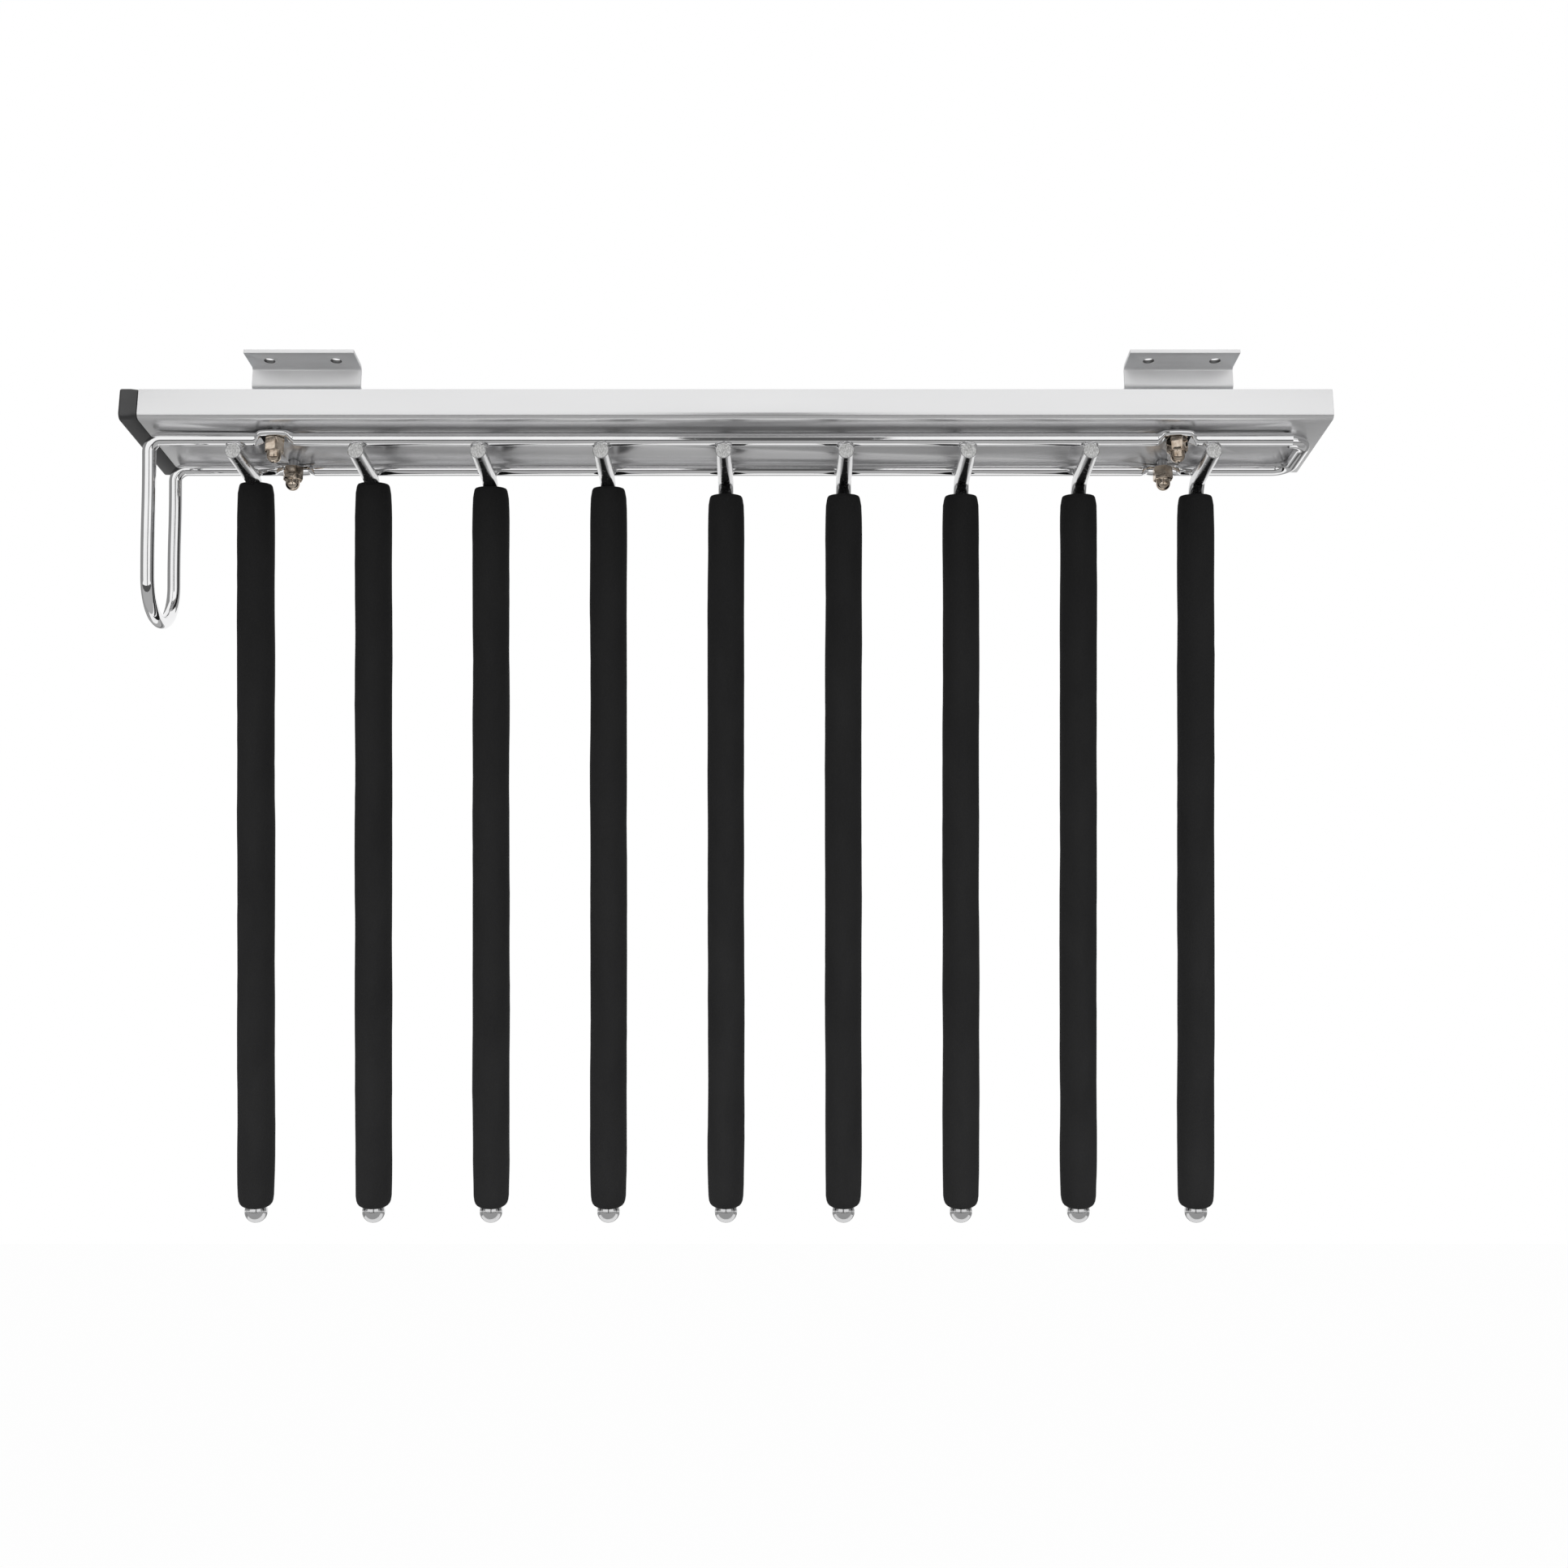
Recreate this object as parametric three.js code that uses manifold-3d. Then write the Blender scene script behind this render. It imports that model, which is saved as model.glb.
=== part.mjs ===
// Pull out trouser rack for a wardrobe, carried by its side panel.
// Lengths are in millimetres. X runs along the slide, and the rack pulls out towards -X.
// The panel lies in the plane Z = 0 and the rack is on its -Z side. The origin is midway
// between the two brackets, on the middle line of the slide.
// In use the panel stands upright and +Y points up, so the arms rise towards their tips.

import * as THREE from 'three';
import { mergeVertices } from 'three/addons/utils/BufferGeometryUtils.js';
import Module from 'manifold-3d';

const wasm = await Module();
wasm.setup();

// Clearances
const seatGap = 0.2;
const holeGap = 0.25;
const cutOverrun = 1;

// Brackets
const bracketInset = 51.4;
const bracketLength = 42;
const bracketGauge = 1.5;
const bracketHeight = 10.2;
const bracketBend = 1.9;
const panelFlangeWidth = 14.2;
const slideFlangeWidth = 28;
const bracketWebY = -15.5;
const panelHoleSpacing = 25.5;
const panelHoleDiameter = 4.2;

// Rivets that hold the slide to the brackets
const rivetSpacing = 26;
const rivetDiameter = 3.8;
const rivetHeadDiameter = 7;
const rivetHeadHeight = 1.3;

// Ball-bearing slide of three members. Its length and its place set those of all that it carries.
const slideMiddleX = -2.4;
const slideWidth = 35;
const slideDepth = 12.7;
const memberLength = 440;
const memberGauge = 1;
const memberBend = 1.2;
const travel = 430;
const ballDiameter = 3;
const raceClearance = 0.1;
const cageGauge = 0.5;
const cageGap = 0.2;
const cageLipHeight = 1.2;
const raceTilt = 41.8;
const outerRaceAngles = [-50, 65];
const innerRaceStartAngle = -75;
const middleHookEndAngle = 140;
const innerHookAngle = 38;
const innerHookEndAngle = 120;
const ballPitch = 40;
const stopWidth = 8;
const stopLength = 2;
const stopInset = 2;
const stopPlay = 0.4;
const accessHoleDiameter = 8;

// Cover, an extruded channel with a pad along its middle
const coverOverhang = 6.5;
const coverWidth = 56;
const coverDepth = 11.7;
const coverWall = 1.3;
const coverEdgeRadius = 2.4;
const padWidth = 13;
const padHeight = 2.6;

// Screws from the inner member into the cover's pad
const coverScrewCount = 3;
const coverScrewInset = 80;
const coverScrewDiameter = 4;
const coverScrewHeadDiameter = 7;
const coverScrewHeadHeight = 2.2;
const coverScrewDepth = 3.3;

// End cap
const capLength = 7;
const capBevelLength = 2.6;
const capEdgeLength = 0.7;
const capProud = 0.8;
const capCornerRadius = 0.9;
const tongueLength = 14;
const tongueThickness = 1.8;
const tongueHeight = 7;

// Wire frame with four flattened lugs and the handle
const wireDiameter = 5.2;
const wireSpacing = 28.5;
const frameFrontInset = 0.7;
const frameRearInset = 5.8;
const frontBend = 5;
const rearBend = 7;
const lugThickness = 2.6;
const lugWidth = 9.6;
const lugFlatLength = 9.8;
const lugSlopeLength = 2.7;
const handleDrop = 66.2;
const handleWidth = 32;

// Bolts and cap nuts at the lugs
const boltFrontInset = 48.4;
const boltRearInset = 51.2;
const boltDiameter = 4;
const boltHeadDiameter = 7.8;
const boltHeadHeight = 2.4;
const nutWidth = 7;
const nutHexHeight = 5.3;
const nutDomeDiameter = 5.6;
const nutDomeHeight = 4.1;
const nutChamfer = 0.5;
const nutBoreDepth = 6;

// Arms: rod, foam sleeve and end ball
const armCount = 9;
const armFrontInset = 33.2;
const armRearInset = 37.7;
const armTilt = 12.9;
const armLength = 290.9;
const armCornerPastWire = 2.2;
const rodDiameter = 6.1;
const rodBend = 8;
const weldGap = 0.1;
const sleeveDiameter = 14.6;
const sleeveStart = 5;
const sleeveShoulder = 2.4;
const foamGap = 0.3;
const endBallDiameter = 9.1;
const endBallBoreDepth = 2.4;

// Facets
const wireSides = 12;
const rodSides = 10;
const sleeveSides = 14;
const ballSides = 10;
const roundSides = 16;
const cageBallSides = 7;
const cageBallRows = 5;
const bendSteps = 4;
const handleSteps = 10;
const raceSteps = 5;
const hookSteps = 4;
const domeSteps = 2;
const endBallSteps = 7;

// Heights that follow from the stack of pieces below the panel
const slideBackZ = -bracketHeight - seatGap;
const slideFrontZ = slideBackZ - slideDepth;
const padTopZ = slideFrontZ - seatGap;
const coverInnerZ = padTopZ - padHeight;
const coverFaceZ = coverInnerZ - coverWall;
const coverEdgeZ = coverFaceZ + coverDepth;
const lugTopZ = coverFaceZ - seatGap;
const lugBottomZ = lugTopZ - lugThickness;
const wireZ = lugTopZ - wireDiameter / 2;
const nutSeatZ = lugBottomZ - seatGap;
const rodZ = wireZ - wireDiameter / 2 - weldGap - rodDiameter / 2;

// Places along the slide
const memberFrontX = slideMiddleX - memberLength / 2;
const memberRearX = slideMiddleX + memberLength / 2;
const coverFrontX = memberFrontX - coverOverhang;
const coverRearX = memberRearX + coverOverhang;
const frameFrontX = coverFrontX + frameFrontInset;
const frameRearX = coverRearX - frameRearInset;
const boltXs = [frameFrontX + boltFrontInset, frameRearX - boltRearInset];
const bracketXs = [-1, 1].map((end) => end * (memberLength / 2 - bracketInset));
const coverScrewXs = Array.from({ length: coverScrewCount }, (_, i) => THREE.MathUtils.lerp(
  memberFrontX + coverScrewInset, memberRearX - coverScrewInset, i / (coverScrewCount - 1)));
const firstArmX = frameFrontX + armFrontInset;
const armPitch = (frameRearX - armRearInset - firstArmX) / (armCount - 1);

const axisX = new THREE.Vector3(1, 0, 0);
const axisY = new THREE.Vector3(0, 1, 0);
const axisZ = new THREE.Vector3(0, 0, 1);
const tilt = THREE.MathUtils.degToRad(armTilt);
const alongArm = new THREE.Vector3(0, Math.sin(tilt), -Math.cos(tilt));
const acrossArm = new THREE.Vector3(0, Math.cos(tilt), Math.sin(tilt));

// Finishes
const satinAluminium = [0xd2d2d3, 0.38, 0.9];
const satinSteel = [0xbdbdbe, 0.42, 0.9];
const zincSteel = [0xa9adb0, 0.45, 0.85];
const brightSteel = [0xd8d8da, 0.25, 1];
const chrome = [0xe4e4e6, 0.08, 1];
const warmNickel = [0xb7a893, 0.2, 1];
const blackPlastic = [0x1b1b1c, 0.5, 0];
const blackFoam = [0x121212, 0.95, 0];

// Closed geometry to a solid that can be cut and joined
function solidOf(geometry) {
  const bare = geometry.clone();
  bare.deleteAttribute('normal');
  bare.deleteAttribute('uv');
  const merged = mergeVertices(bare);
  return new wasm.Manifold(new wasm.Mesh({
    numProp: 3,
    vertProperties: merged.attributes.position.array,
    triVerts: new Uint32Array(merged.index.array),
  }));
}

function geometryOf(solid) {
  const { vertProperties, triVerts } = solid.getMesh();
  const geometry = new THREE.BufferGeometry();
  geometry.setAttribute('position', new THREE.BufferAttribute(vertProperties, 3));
  geometry.setIndex(new THREE.BufferAttribute(triVerts, 1));
  return geometry.toNonIndexed();
}

// A named mesh with a finish of its own
function piece(name, shape, [color, roughness, metalness]) {
  const geometry = shape.isBufferGeometry ? shape : geometryOf(shape);
  geometry.computeVertexNormals();
  const mesh = new THREE.Mesh(geometry, new THREE.MeshStandardMaterial({ color, roughness, metalness }));
  mesh.name = name;
  return mesh;
}

// Points of an arc, angles in degrees
function arc(centreX, centreY, radius, from, to, steps) {
  return Array.from({ length: steps + 1 }, (_, i) => {
    const angle = THREE.MathUtils.degToRad(from + (to - from) * i / steps);
    return new THREE.Vector2(centreX + radius * Math.cos(angle), centreY + radius * Math.sin(angle));
  });
}

// A polyline [[x, y, radius], ...] with an arc at each corner that has a radius
function rounded(corners, steps = 3, closed = false) {
  return corners.flatMap(([x, y, radius = 0], i) => {
    const here = new THREE.Vector2(x, y);
    if (!radius || (!closed && (i === 0 || i === corners.length - 1))) return [here];
    const count = corners.length;
    const [bx, by] = corners[(i + count - 1) % count];
    const [ax, ay] = corners[(i + 1) % count];
    const back = new THREE.Vector2(bx - x, by - y).normalize();
    const ahead = new THREE.Vector2(ax - x, ay - y).normalize();
    const half = Math.acos(back.dot(ahead)) / 2;
    const reach = radius / Math.tan(half);
    const inward = back.clone().add(ahead).normalize();
    const centre = here.clone().addScaledVector(inward, radius / Math.sin(half));
    const start = here.clone().addScaledVector(back, reach).sub(centre);
    const end = here.clone().addScaledVector(ahead, reach).sub(centre);
    const turn = Math.atan2(start.cross(end), start.dot(end));
    return Array.from({ length: steps + 1 }, (_, k) =>
      start.clone().rotateAround(new THREE.Vector2(), turn * k / steps).add(centre));
  });
}

// Outline of a folded strip of sheet, from the middle line of its section
function foldedStrip(middle, gauge) {
  const side = (sign) => middle.map((point, i) => {
    const into = (i > 0 ? point.clone().sub(middle[i - 1]) : middle[i + 1].clone().sub(point)).normalize();
    const out = (i < middle.length - 1 ? middle[i + 1].clone().sub(point) : into.clone()).normalize();
    const across = into.clone().add(out).normalize().rotateAround(new THREE.Vector2(), Math.PI / 2);
    const mitre = across.dot(out.rotateAround(new THREE.Vector2(), Math.PI / 2));
    return point.clone().addScaledVector(across, sign * gauge / 2 / mitre);
  });
  return [...side(1), ...side(-1).reverse()];
}

// The right half of a middle line, mirrored to the left and joined at the middle
function mirrored(half) {
  return [...half.map((p) => new THREE.Vector2(-p.x, p.y)).reverse(), ...half];
}

// An outline in Y and Z, drawn out along X
function alongX(outline, fromX, length) {
  const geometry = new THREE.ExtrudeGeometry(new THREE.Shape(outline),
    { depth: length, bevelEnabled: false });
  return geometry.applyMatrix4(new THREE.Matrix4().makeBasis(axisY, axisZ, axisX).setPosition(fromX, 0, 0));
}

// An upright round bar for holes and bores
function barZ(x, y, lowZ, highZ, radius, sides = roundSides) {
  return solidOf(new THREE.CylinderGeometry(radius, radius, highZ - lowZ, sides)
    .rotateX(Math.PI / 2).translate(x, y, (lowZ + highZ) / 2));
}

function block(lowX, highX, lowY, highY, lowZ, highZ) {
  return solidOf(new THREE.BoxGeometry(highX - lowX, highY - lowY, highZ - lowZ)
    .translate((lowX + highX) / 2, (lowY + highY) / 2, (lowZ + highZ) / 2));
}

// A turned shape about Z from [radius, height] pairs
function turnedZ(profile, sides = roundSides) {
  const points = profile.map(([radius, height]) => new THREE.Vector2(radius, height));
  return new THREE.LatheGeometry(points, sides).rotateX(Math.PI / 2);
}

// A round shank that points down from the origin, with a low domed head on top
function headedPin(shankDiameter, shankLength, headDiameter, headHeight) {
  const rimShare = 0.55;
  const crownShare = 0.72;
  return turnedZ([
    [0, -shankLength], [shankDiameter / 2, -shankLength], [shankDiameter / 2, 0],
    [headDiameter / 2, 0], [headDiameter / 2, headHeight * rimShare],
    [headDiameter / 2 * crownShare, headHeight * (1 + rimShare) / 2], [0, headHeight],
  ], ballSides);
}

// A ring of points round a station of a swept bar. A flat share of 1 squares the section.
const squareSideShare = 1.25;
const squareTopShare = 1.5;

function ring({ centre, heading, up, halfWidth, halfHeight, flatShare = 0 }, sides) {
  const side = up.clone().cross(heading);
  const squared = (value, growthShare) =>
    THREE.MathUtils.lerp(value, THREE.MathUtils.clamp(value * growthShare, -1, 1), flatShare);
  return Array.from({ length: sides }, (_, i) => {
    const angle = 2 * Math.PI * i / sides;
    const across = squared(Math.cos(angle), squareSideShare) * halfWidth;
    const above = squared(Math.sin(angle), squareTopShare) * halfHeight;
    return centre.clone().addScaledVector(side, across).addScaledVector(up, above);
  });
}

// A skin over rings of equal count, either closed on itself or closed by two flat ends
function skin(rings, loop) {
  const sides = rings[0].length;
  const positions = rings.flat().flatMap((point) => point.toArray());
  const index = [];
  const spans = loop ? rings.length : rings.length - 1;
  for (let i = 0; i < spans; i++) {
    for (let k = 0; k < sides; k++) {
      const here = i * sides;
      const next = ((i + 1) % rings.length) * sides;
      const after = (k + 1) % sides;
      index.push(here + k, here + after, next + after, here + k, next + after, next + k);
    }
  }
  if (!loop) {
    const last = (rings.length - 1) * sides;
    for (let k = 1; k < sides - 1; k++) {
      index.push(0, k + 1, k, last, last + k, last + k + 1);
    }
  }
  const geometry = new THREE.BufferGeometry();
  geometry.setAttribute('position', new THREE.Float32BufferAttribute(positions, 3));
  geometry.setIndex(index);
  return geometry;
}

const rack = new THREE.Group();

// Brackets: Z shaped strips, the upper flange screwed to the panel, the lower one riveted to the slide
function bracket(middleX) {
  const strip = rounded([
    [bracketWebY - panelFlangeWidth, -bracketGauge / 2],
    [bracketWebY, -bracketGauge / 2, bracketBend],
    [bracketWebY, -bracketHeight + bracketGauge / 2, bracketBend],
    [bracketWebY + slideFlangeWidth, -bracketHeight + bracketGauge / 2],
  ], bendSteps);
  let made = solidOf(alongX(foldedStrip(strip, bracketGauge), middleX - bracketLength / 2, bracketLength));
  for (const end of [-1, 1]) {
    made = made.subtract(barZ(middleX + end * panelHoleSpacing / 2, panelHoleY,
      -bracketGauge - cutOverrun, cutOverrun, panelHoleDiameter / 2));
    made = made.subtract(barZ(middleX + end * rivetSpacing / 2, rivetY,
      -bracketHeight - cutOverrun, -bracketHeight + bracketGauge + cutOverrun, rivetDiameter / 2 + holeGap));
  }
  return made;
}

const panelHoleY = bracketWebY - panelFlangeWidth / 2;
const rivetY = bracketWebY + slideFlangeWidth / 2;
const bracketNames = ['front', 'rear'];
const rivetShank = bracketGauge + seatGap + seatGap + memberGauge - raceClearance;

bracketXs.forEach((x, i) => {
  rack.add(piece(`bracket_${bracketNames[i]}`, bracket(x), satinSteel));
  [-1, 1].forEach((end, k) => {
    const rivet = piece(`rivet_${bracketNames[i]}_${k + 1}`,
      headedPin(rivetDiameter, rivetShank, rivetHeadDiameter, rivetHeadHeight), brightSteel);
    rivet.position.set(x + end * rivetSpacing / 2, rivetY, -bracketHeight + bracketGauge + seatGap);
    rack.add(rivet);
  });
});

// Section of the slide: Y across, depth counted from the back of the outer member.
// Two rows of balls run on each side, the inner row deeper in than the outer row.
const ballRadius = ballDiameter / 2;
const raceRadius = ballRadius + raceClearance + memberGauge / 2;
const outerWebDepth = memberGauge / 2;
const outerCageDepth = memberGauge + cageGap + cageGauge / 2;
const middleWebDepth = outerCageDepth + cageGauge / 2 + cageGap + memberGauge / 2;
const innerCageDepth = middleWebDepth + memberGauge / 2 + cageGap + cageGauge / 2;
const innerWebDepth = slideDepth - memberGauge / 2;
const innerHookRise = Math.sin(THREE.MathUtils.degToRad(innerHookAngle));
const shoulderShare = 1.45;
const outerBall = new THREE.Vector2(slideWidth / 2 - memberGauge / 2 - raceRadius, 0);
const innerBall = new THREE.Vector2(0,
  innerCageDepth + cageGauge / 2 + cageGap + (raceRadius + memberGauge / 2) * innerHookRise);
const rowOffset = new THREE.Vector2(2 * raceRadius, 0)
  .rotateAround(new THREE.Vector2(), THREE.MathUtils.degToRad(raceTilt));
outerBall.y = innerBall.y + rowOffset.y;
innerBall.x = outerBall.x - rowOffset.x;

// The bend from a member's web into its flange, without the points on the middle line and the race
function webBend(flangeY, webDepth, radius, flangeEnd) {
  return rounded([[0, webDepth], [flangeY, webDepth, radius], [flangeY, flangeEnd]], 2).slice(1, -1);
}

function memberSection() {
  const outerRace = arc(outerBall.x, outerBall.y, raceRadius, ...outerRaceAngles, raceSteps);
  const outer = mirrored([
    ...webBend(outerRace[0].x, outerWebDepth, memberBend / 2, outerBall.y), ...outerRace,
  ]);
  const innerRace = arc(innerBall.x, innerBall.y, raceRadius, innerRaceStartAngle, raceTilt, raceSteps);
  const middle = mirrored([
    new THREE.Vector2(innerRace[0].x - (innerRace[0].y - middleWebDepth), middleWebDepth),
    ...innerRace,
    ...arc(outerBall.x, outerBall.y, raceRadius, 180 + raceTilt, middleHookEndAngle, hookSteps).slice(1),
  ]);
  const flangeY = innerBall.x - raceRadius;
  const inner = mirrored([
    ...webBend(flangeY, innerWebDepth, memberBend, innerBall.y),
    new THREE.Vector2(flangeY, innerBall.y + shoulderShare * raceRadius),
    ...arc(innerBall.x, innerBall.y, raceRadius, innerHookEndAngle, 180 + innerHookAngle, hookSteps),
  ]);
  return { outer, middle, inner };
}

// A member or cage: its folded section drawn out along X behind the panel
function drawn(middleLine, gauge, fromX, length) {
  const outline = foldedStrip(middleLine, gauge).map((p) => new THREE.Vector2(p.x, slideBackZ - p.y));
  return solidOf(alongX(outline, fromX, length));
}

const section = memberSection();

// A low stop across the web, where the end of a cage meets it when the slide is fully out
function stop(atX, lowDepth, highDepth) {
  return block(atX, atX + stopLength, -stopWidth / 2, stopWidth / 2,
    slideBackZ - highDepth, slideBackZ - lowDepth);
}

function webHole(made, x, y, depth, diameter) {
  const webZ = slideBackZ - depth;
  return made.subtract(barZ(x, y, webZ - memberGauge, webZ + memberGauge, diameter / 2));
}

let outerMember = drawn(section.outer, memberGauge, memberFrontX, memberLength)
  .add(stop(memberFrontX + stopInset, outerWebDepth, outerCageDepth + cageGauge / 2));
let middleMember = drawn(section.middle, memberGauge, memberFrontX, memberLength)
  .add(stop(memberRearX - stopInset - stopLength, outerCageDepth - cageGauge / 2, middleWebDepth))
  .add(stop(memberFrontX + stopInset, middleWebDepth, innerCageDepth + cageGauge / 2));
let innerMember = drawn(section.inner, memberGauge, memberFrontX, memberLength)
  .add(stop(memberRearX - stopInset - stopLength, innerCageDepth - cageGauge / 2, innerWebDepth));
for (const x of coverScrewXs) {
  outerMember = webHole(outerMember, x, 0, outerWebDepth, accessHoleDiameter);
  middleMember = webHole(middleMember, x, 0, middleWebDepth, accessHoleDiameter);
  innerMember = webHole(innerMember, x, 0, innerWebDepth, coverScrewDiameter + 2 * holeGap);
}
for (const x of bracketXs) {
  for (const end of [-1, 1]) {
    outerMember = webHole(outerMember, x + end * rivetSpacing / 2, rivetY, outerWebDepth,
      rivetDiameter + 2 * holeGap);
  }
}
rack.add(piece('outer_member', outerMember, zincSteel));
rack.add(piece('middle_member', middleMember, zincSteel));
rack.add(piece('inner_member', innerMember, zincSteel));

// Ball cages: a folded strip with a row of balls along each lip. Each is as long as the two
// members still overlap when the slide is fully out, less the stops.
const cageLength = memberLength - travel / 2 - 2 * (stopInset + stopLength + stopPlay);
const cageChamferShare = 0.85;
const cageChamfer = ballRadius * cageChamferShare;

function cage(rowCentre, webDepth) {
  const line = mirrored([
    new THREE.Vector2(rowCentre.x - cageChamfer, webDepth),
    new THREE.Vector2(rowCentre.x, webDepth + cageChamfer),
    new THREE.Vector2(rowCentre.x, rowCentre.y + cageLipHeight),
  ]);
  let made = drawn(line, cageGauge, slideMiddleX - cageLength / 2, cageLength);
  const count = Math.floor((cageLength - ballDiameter) / ballPitch) + 1;
  for (let i = 0; i < count; i++) {
    const x = slideMiddleX + (i - (count - 1) / 2) * ballPitch;
    for (const side of [-1, 1]) {
      made = made.add(solidOf(new THREE.SphereGeometry(ballRadius, cageBallSides, cageBallRows)
        .translate(x, side * rowCentre.x, slideBackZ - rowCentre.y)));
    }
  }
  return made;
}

rack.add(piece('outer_ball_cage', cage(outerBall, outerCageDepth), brightSteel));
rack.add(piece('inner_ball_cage', cage(innerBall, innerCageDepth), brightSteel));

// Cover: a channel with rounded outer edges and a pad that the inner member is screwed to
function coverShape() {
  const half = coverWidth / 2;
  const inner = half - coverWall;
  const outline = rounded([
    [-half, coverEdgeZ], [-half, coverFaceZ, coverEdgeRadius],
    [half, coverFaceZ, coverEdgeRadius], [half, coverEdgeZ],
    [inner, coverEdgeZ], [inner, coverInnerZ, coverEdgeRadius - coverWall],
    [padWidth / 2, coverInnerZ], [padWidth / 2, padTopZ],
    [-padWidth / 2, padTopZ], [-padWidth / 2, coverInnerZ],
    [-inner, coverInnerZ, coverEdgeRadius - coverWall], [-inner, coverEdgeZ],
  ], bendSteps);
  let made = solidOf(alongX(outline, coverFrontX, coverRearX - coverFrontX));
  for (const x of boltXs) {
    for (const side of [-1, 1]) {
      made = made.subtract(barZ(x, side * wireSpacing / 2, coverFaceZ - cutOverrun, coverInnerZ + cutOverrun,
        boltDiameter / 2 + holeGap));
    }
  }
  for (const x of coverScrewXs) {
    made = made.subtract(barZ(x, 0, padTopZ - coverScrewDepth - seatGap, padTopZ + cutOverrun,
      coverScrewDiameter / 2 + holeGap));
  }
  return made;
}

rack.add(piece('cover', coverShape(), satinAluminium));

coverScrewXs.forEach((x, i) => {
  const shank = coverScrewDepth + seatGap + memberGauge + seatGap;
  const screw = piece(`cover_screw_${i + 1}`,
    headedPin(coverScrewDiameter, shank, coverScrewHeadDiameter, coverScrewHeadHeight), brightSteel);
  screw.position.set(x, 0, slideFrontZ + memberGauge + seatGap);
  rack.add(screw);
});

// End cap: a moulded plate with a bevelled, slightly proud rim, and two tongues inside the channel
function capShape() {
  const outline = (x, proud) => rounded([
    [-coverWidth / 2 - proud, coverEdgeZ, capCornerRadius],
    [-coverWidth / 2 - proud, coverFaceZ - proud, coverEdgeRadius + proud],
    [coverWidth / 2 + proud, coverFaceZ - proud, coverEdgeRadius + proud],
    [coverWidth / 2 + proud, coverEdgeZ, capCornerRadius],
  ], bendSteps, true).map((p) => new THREE.Vector3(x, p.x, p.y));
  const back = coverFrontX - seatGap;
  const front = coverFrontX - capLength;
  let made = solidOf(skin([
    outline(front, capProud - capEdgeLength), outline(front + capEdgeLength, capProud),
    outline(back - capBevelLength, capProud), outline(back, 0),
  ], false));
  const wallY = coverWidth / 2 - coverWall - seatGap;
  const lowZ = coverInnerZ + coverEdgeRadius;
  for (const side of [-1, 1]) {
    const ys = [side * wallY, side * (wallY - tongueThickness)].sort((a, b) => a - b);
    made = made.add(block(back - capBevelLength, coverFrontX + tongueLength,
      ...ys, lowZ, lowZ + tongueHeight));
  }
  return made;
}

rack.add(piece('end_cap', capShape(), blackPlastic));

// Wire frame: one closed loop of round wire. Both long wires are flattened into a lug at each
// bolt, and the loop is bent down at the front into the handle.
const wireRadius = wireDiameter / 2;

function roundStation(centre, heading, up) {
  return { centre, heading, up, halfWidth: wireRadius, halfHeight: wireRadius };
}

// Stations over a lug: place as a share of half the flat, width as a share of the lug's width
const lugShares = [
  [-1, 0.62], [-0.72, 0.84], [-0.36, 0.96], [0, 1], [0.36, 0.96], [0.72, 0.84], [1, 0.62],
];

function lugStations(boltX, y, heading) {
  const along = heading.x;
  const flats = lugShares.map(([placeShare, widthShare]) => ({
    centre: new THREE.Vector3(boltX + along * placeShare * lugFlatLength / 2, y, (lugTopZ + lugBottomZ) / 2),
    heading, up: axisZ, halfWidth: lugWidth * widthShare / 2, halfHeight: lugThickness / 2, flatShare: 1,
  }));
  const reach = lugFlatLength / 2 + lugSlopeLength;
  return [
    roundStation(new THREE.Vector3(boltX - along * reach, y, wireZ), heading, axisZ), ...flats,
    roundStation(new THREE.Vector3(boltX + along * reach, y, wireZ), heading, axisZ),
  ];
}

// A point of the handle's plane: across the loop, and down it along the arms' direction
function handlePoint(across, down) {
  return new THREE.Vector3(frameFrontX, 0, wireZ)
    .addScaledVector(acrossArm, across).addScaledVector(alongArm, down);
}

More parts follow.
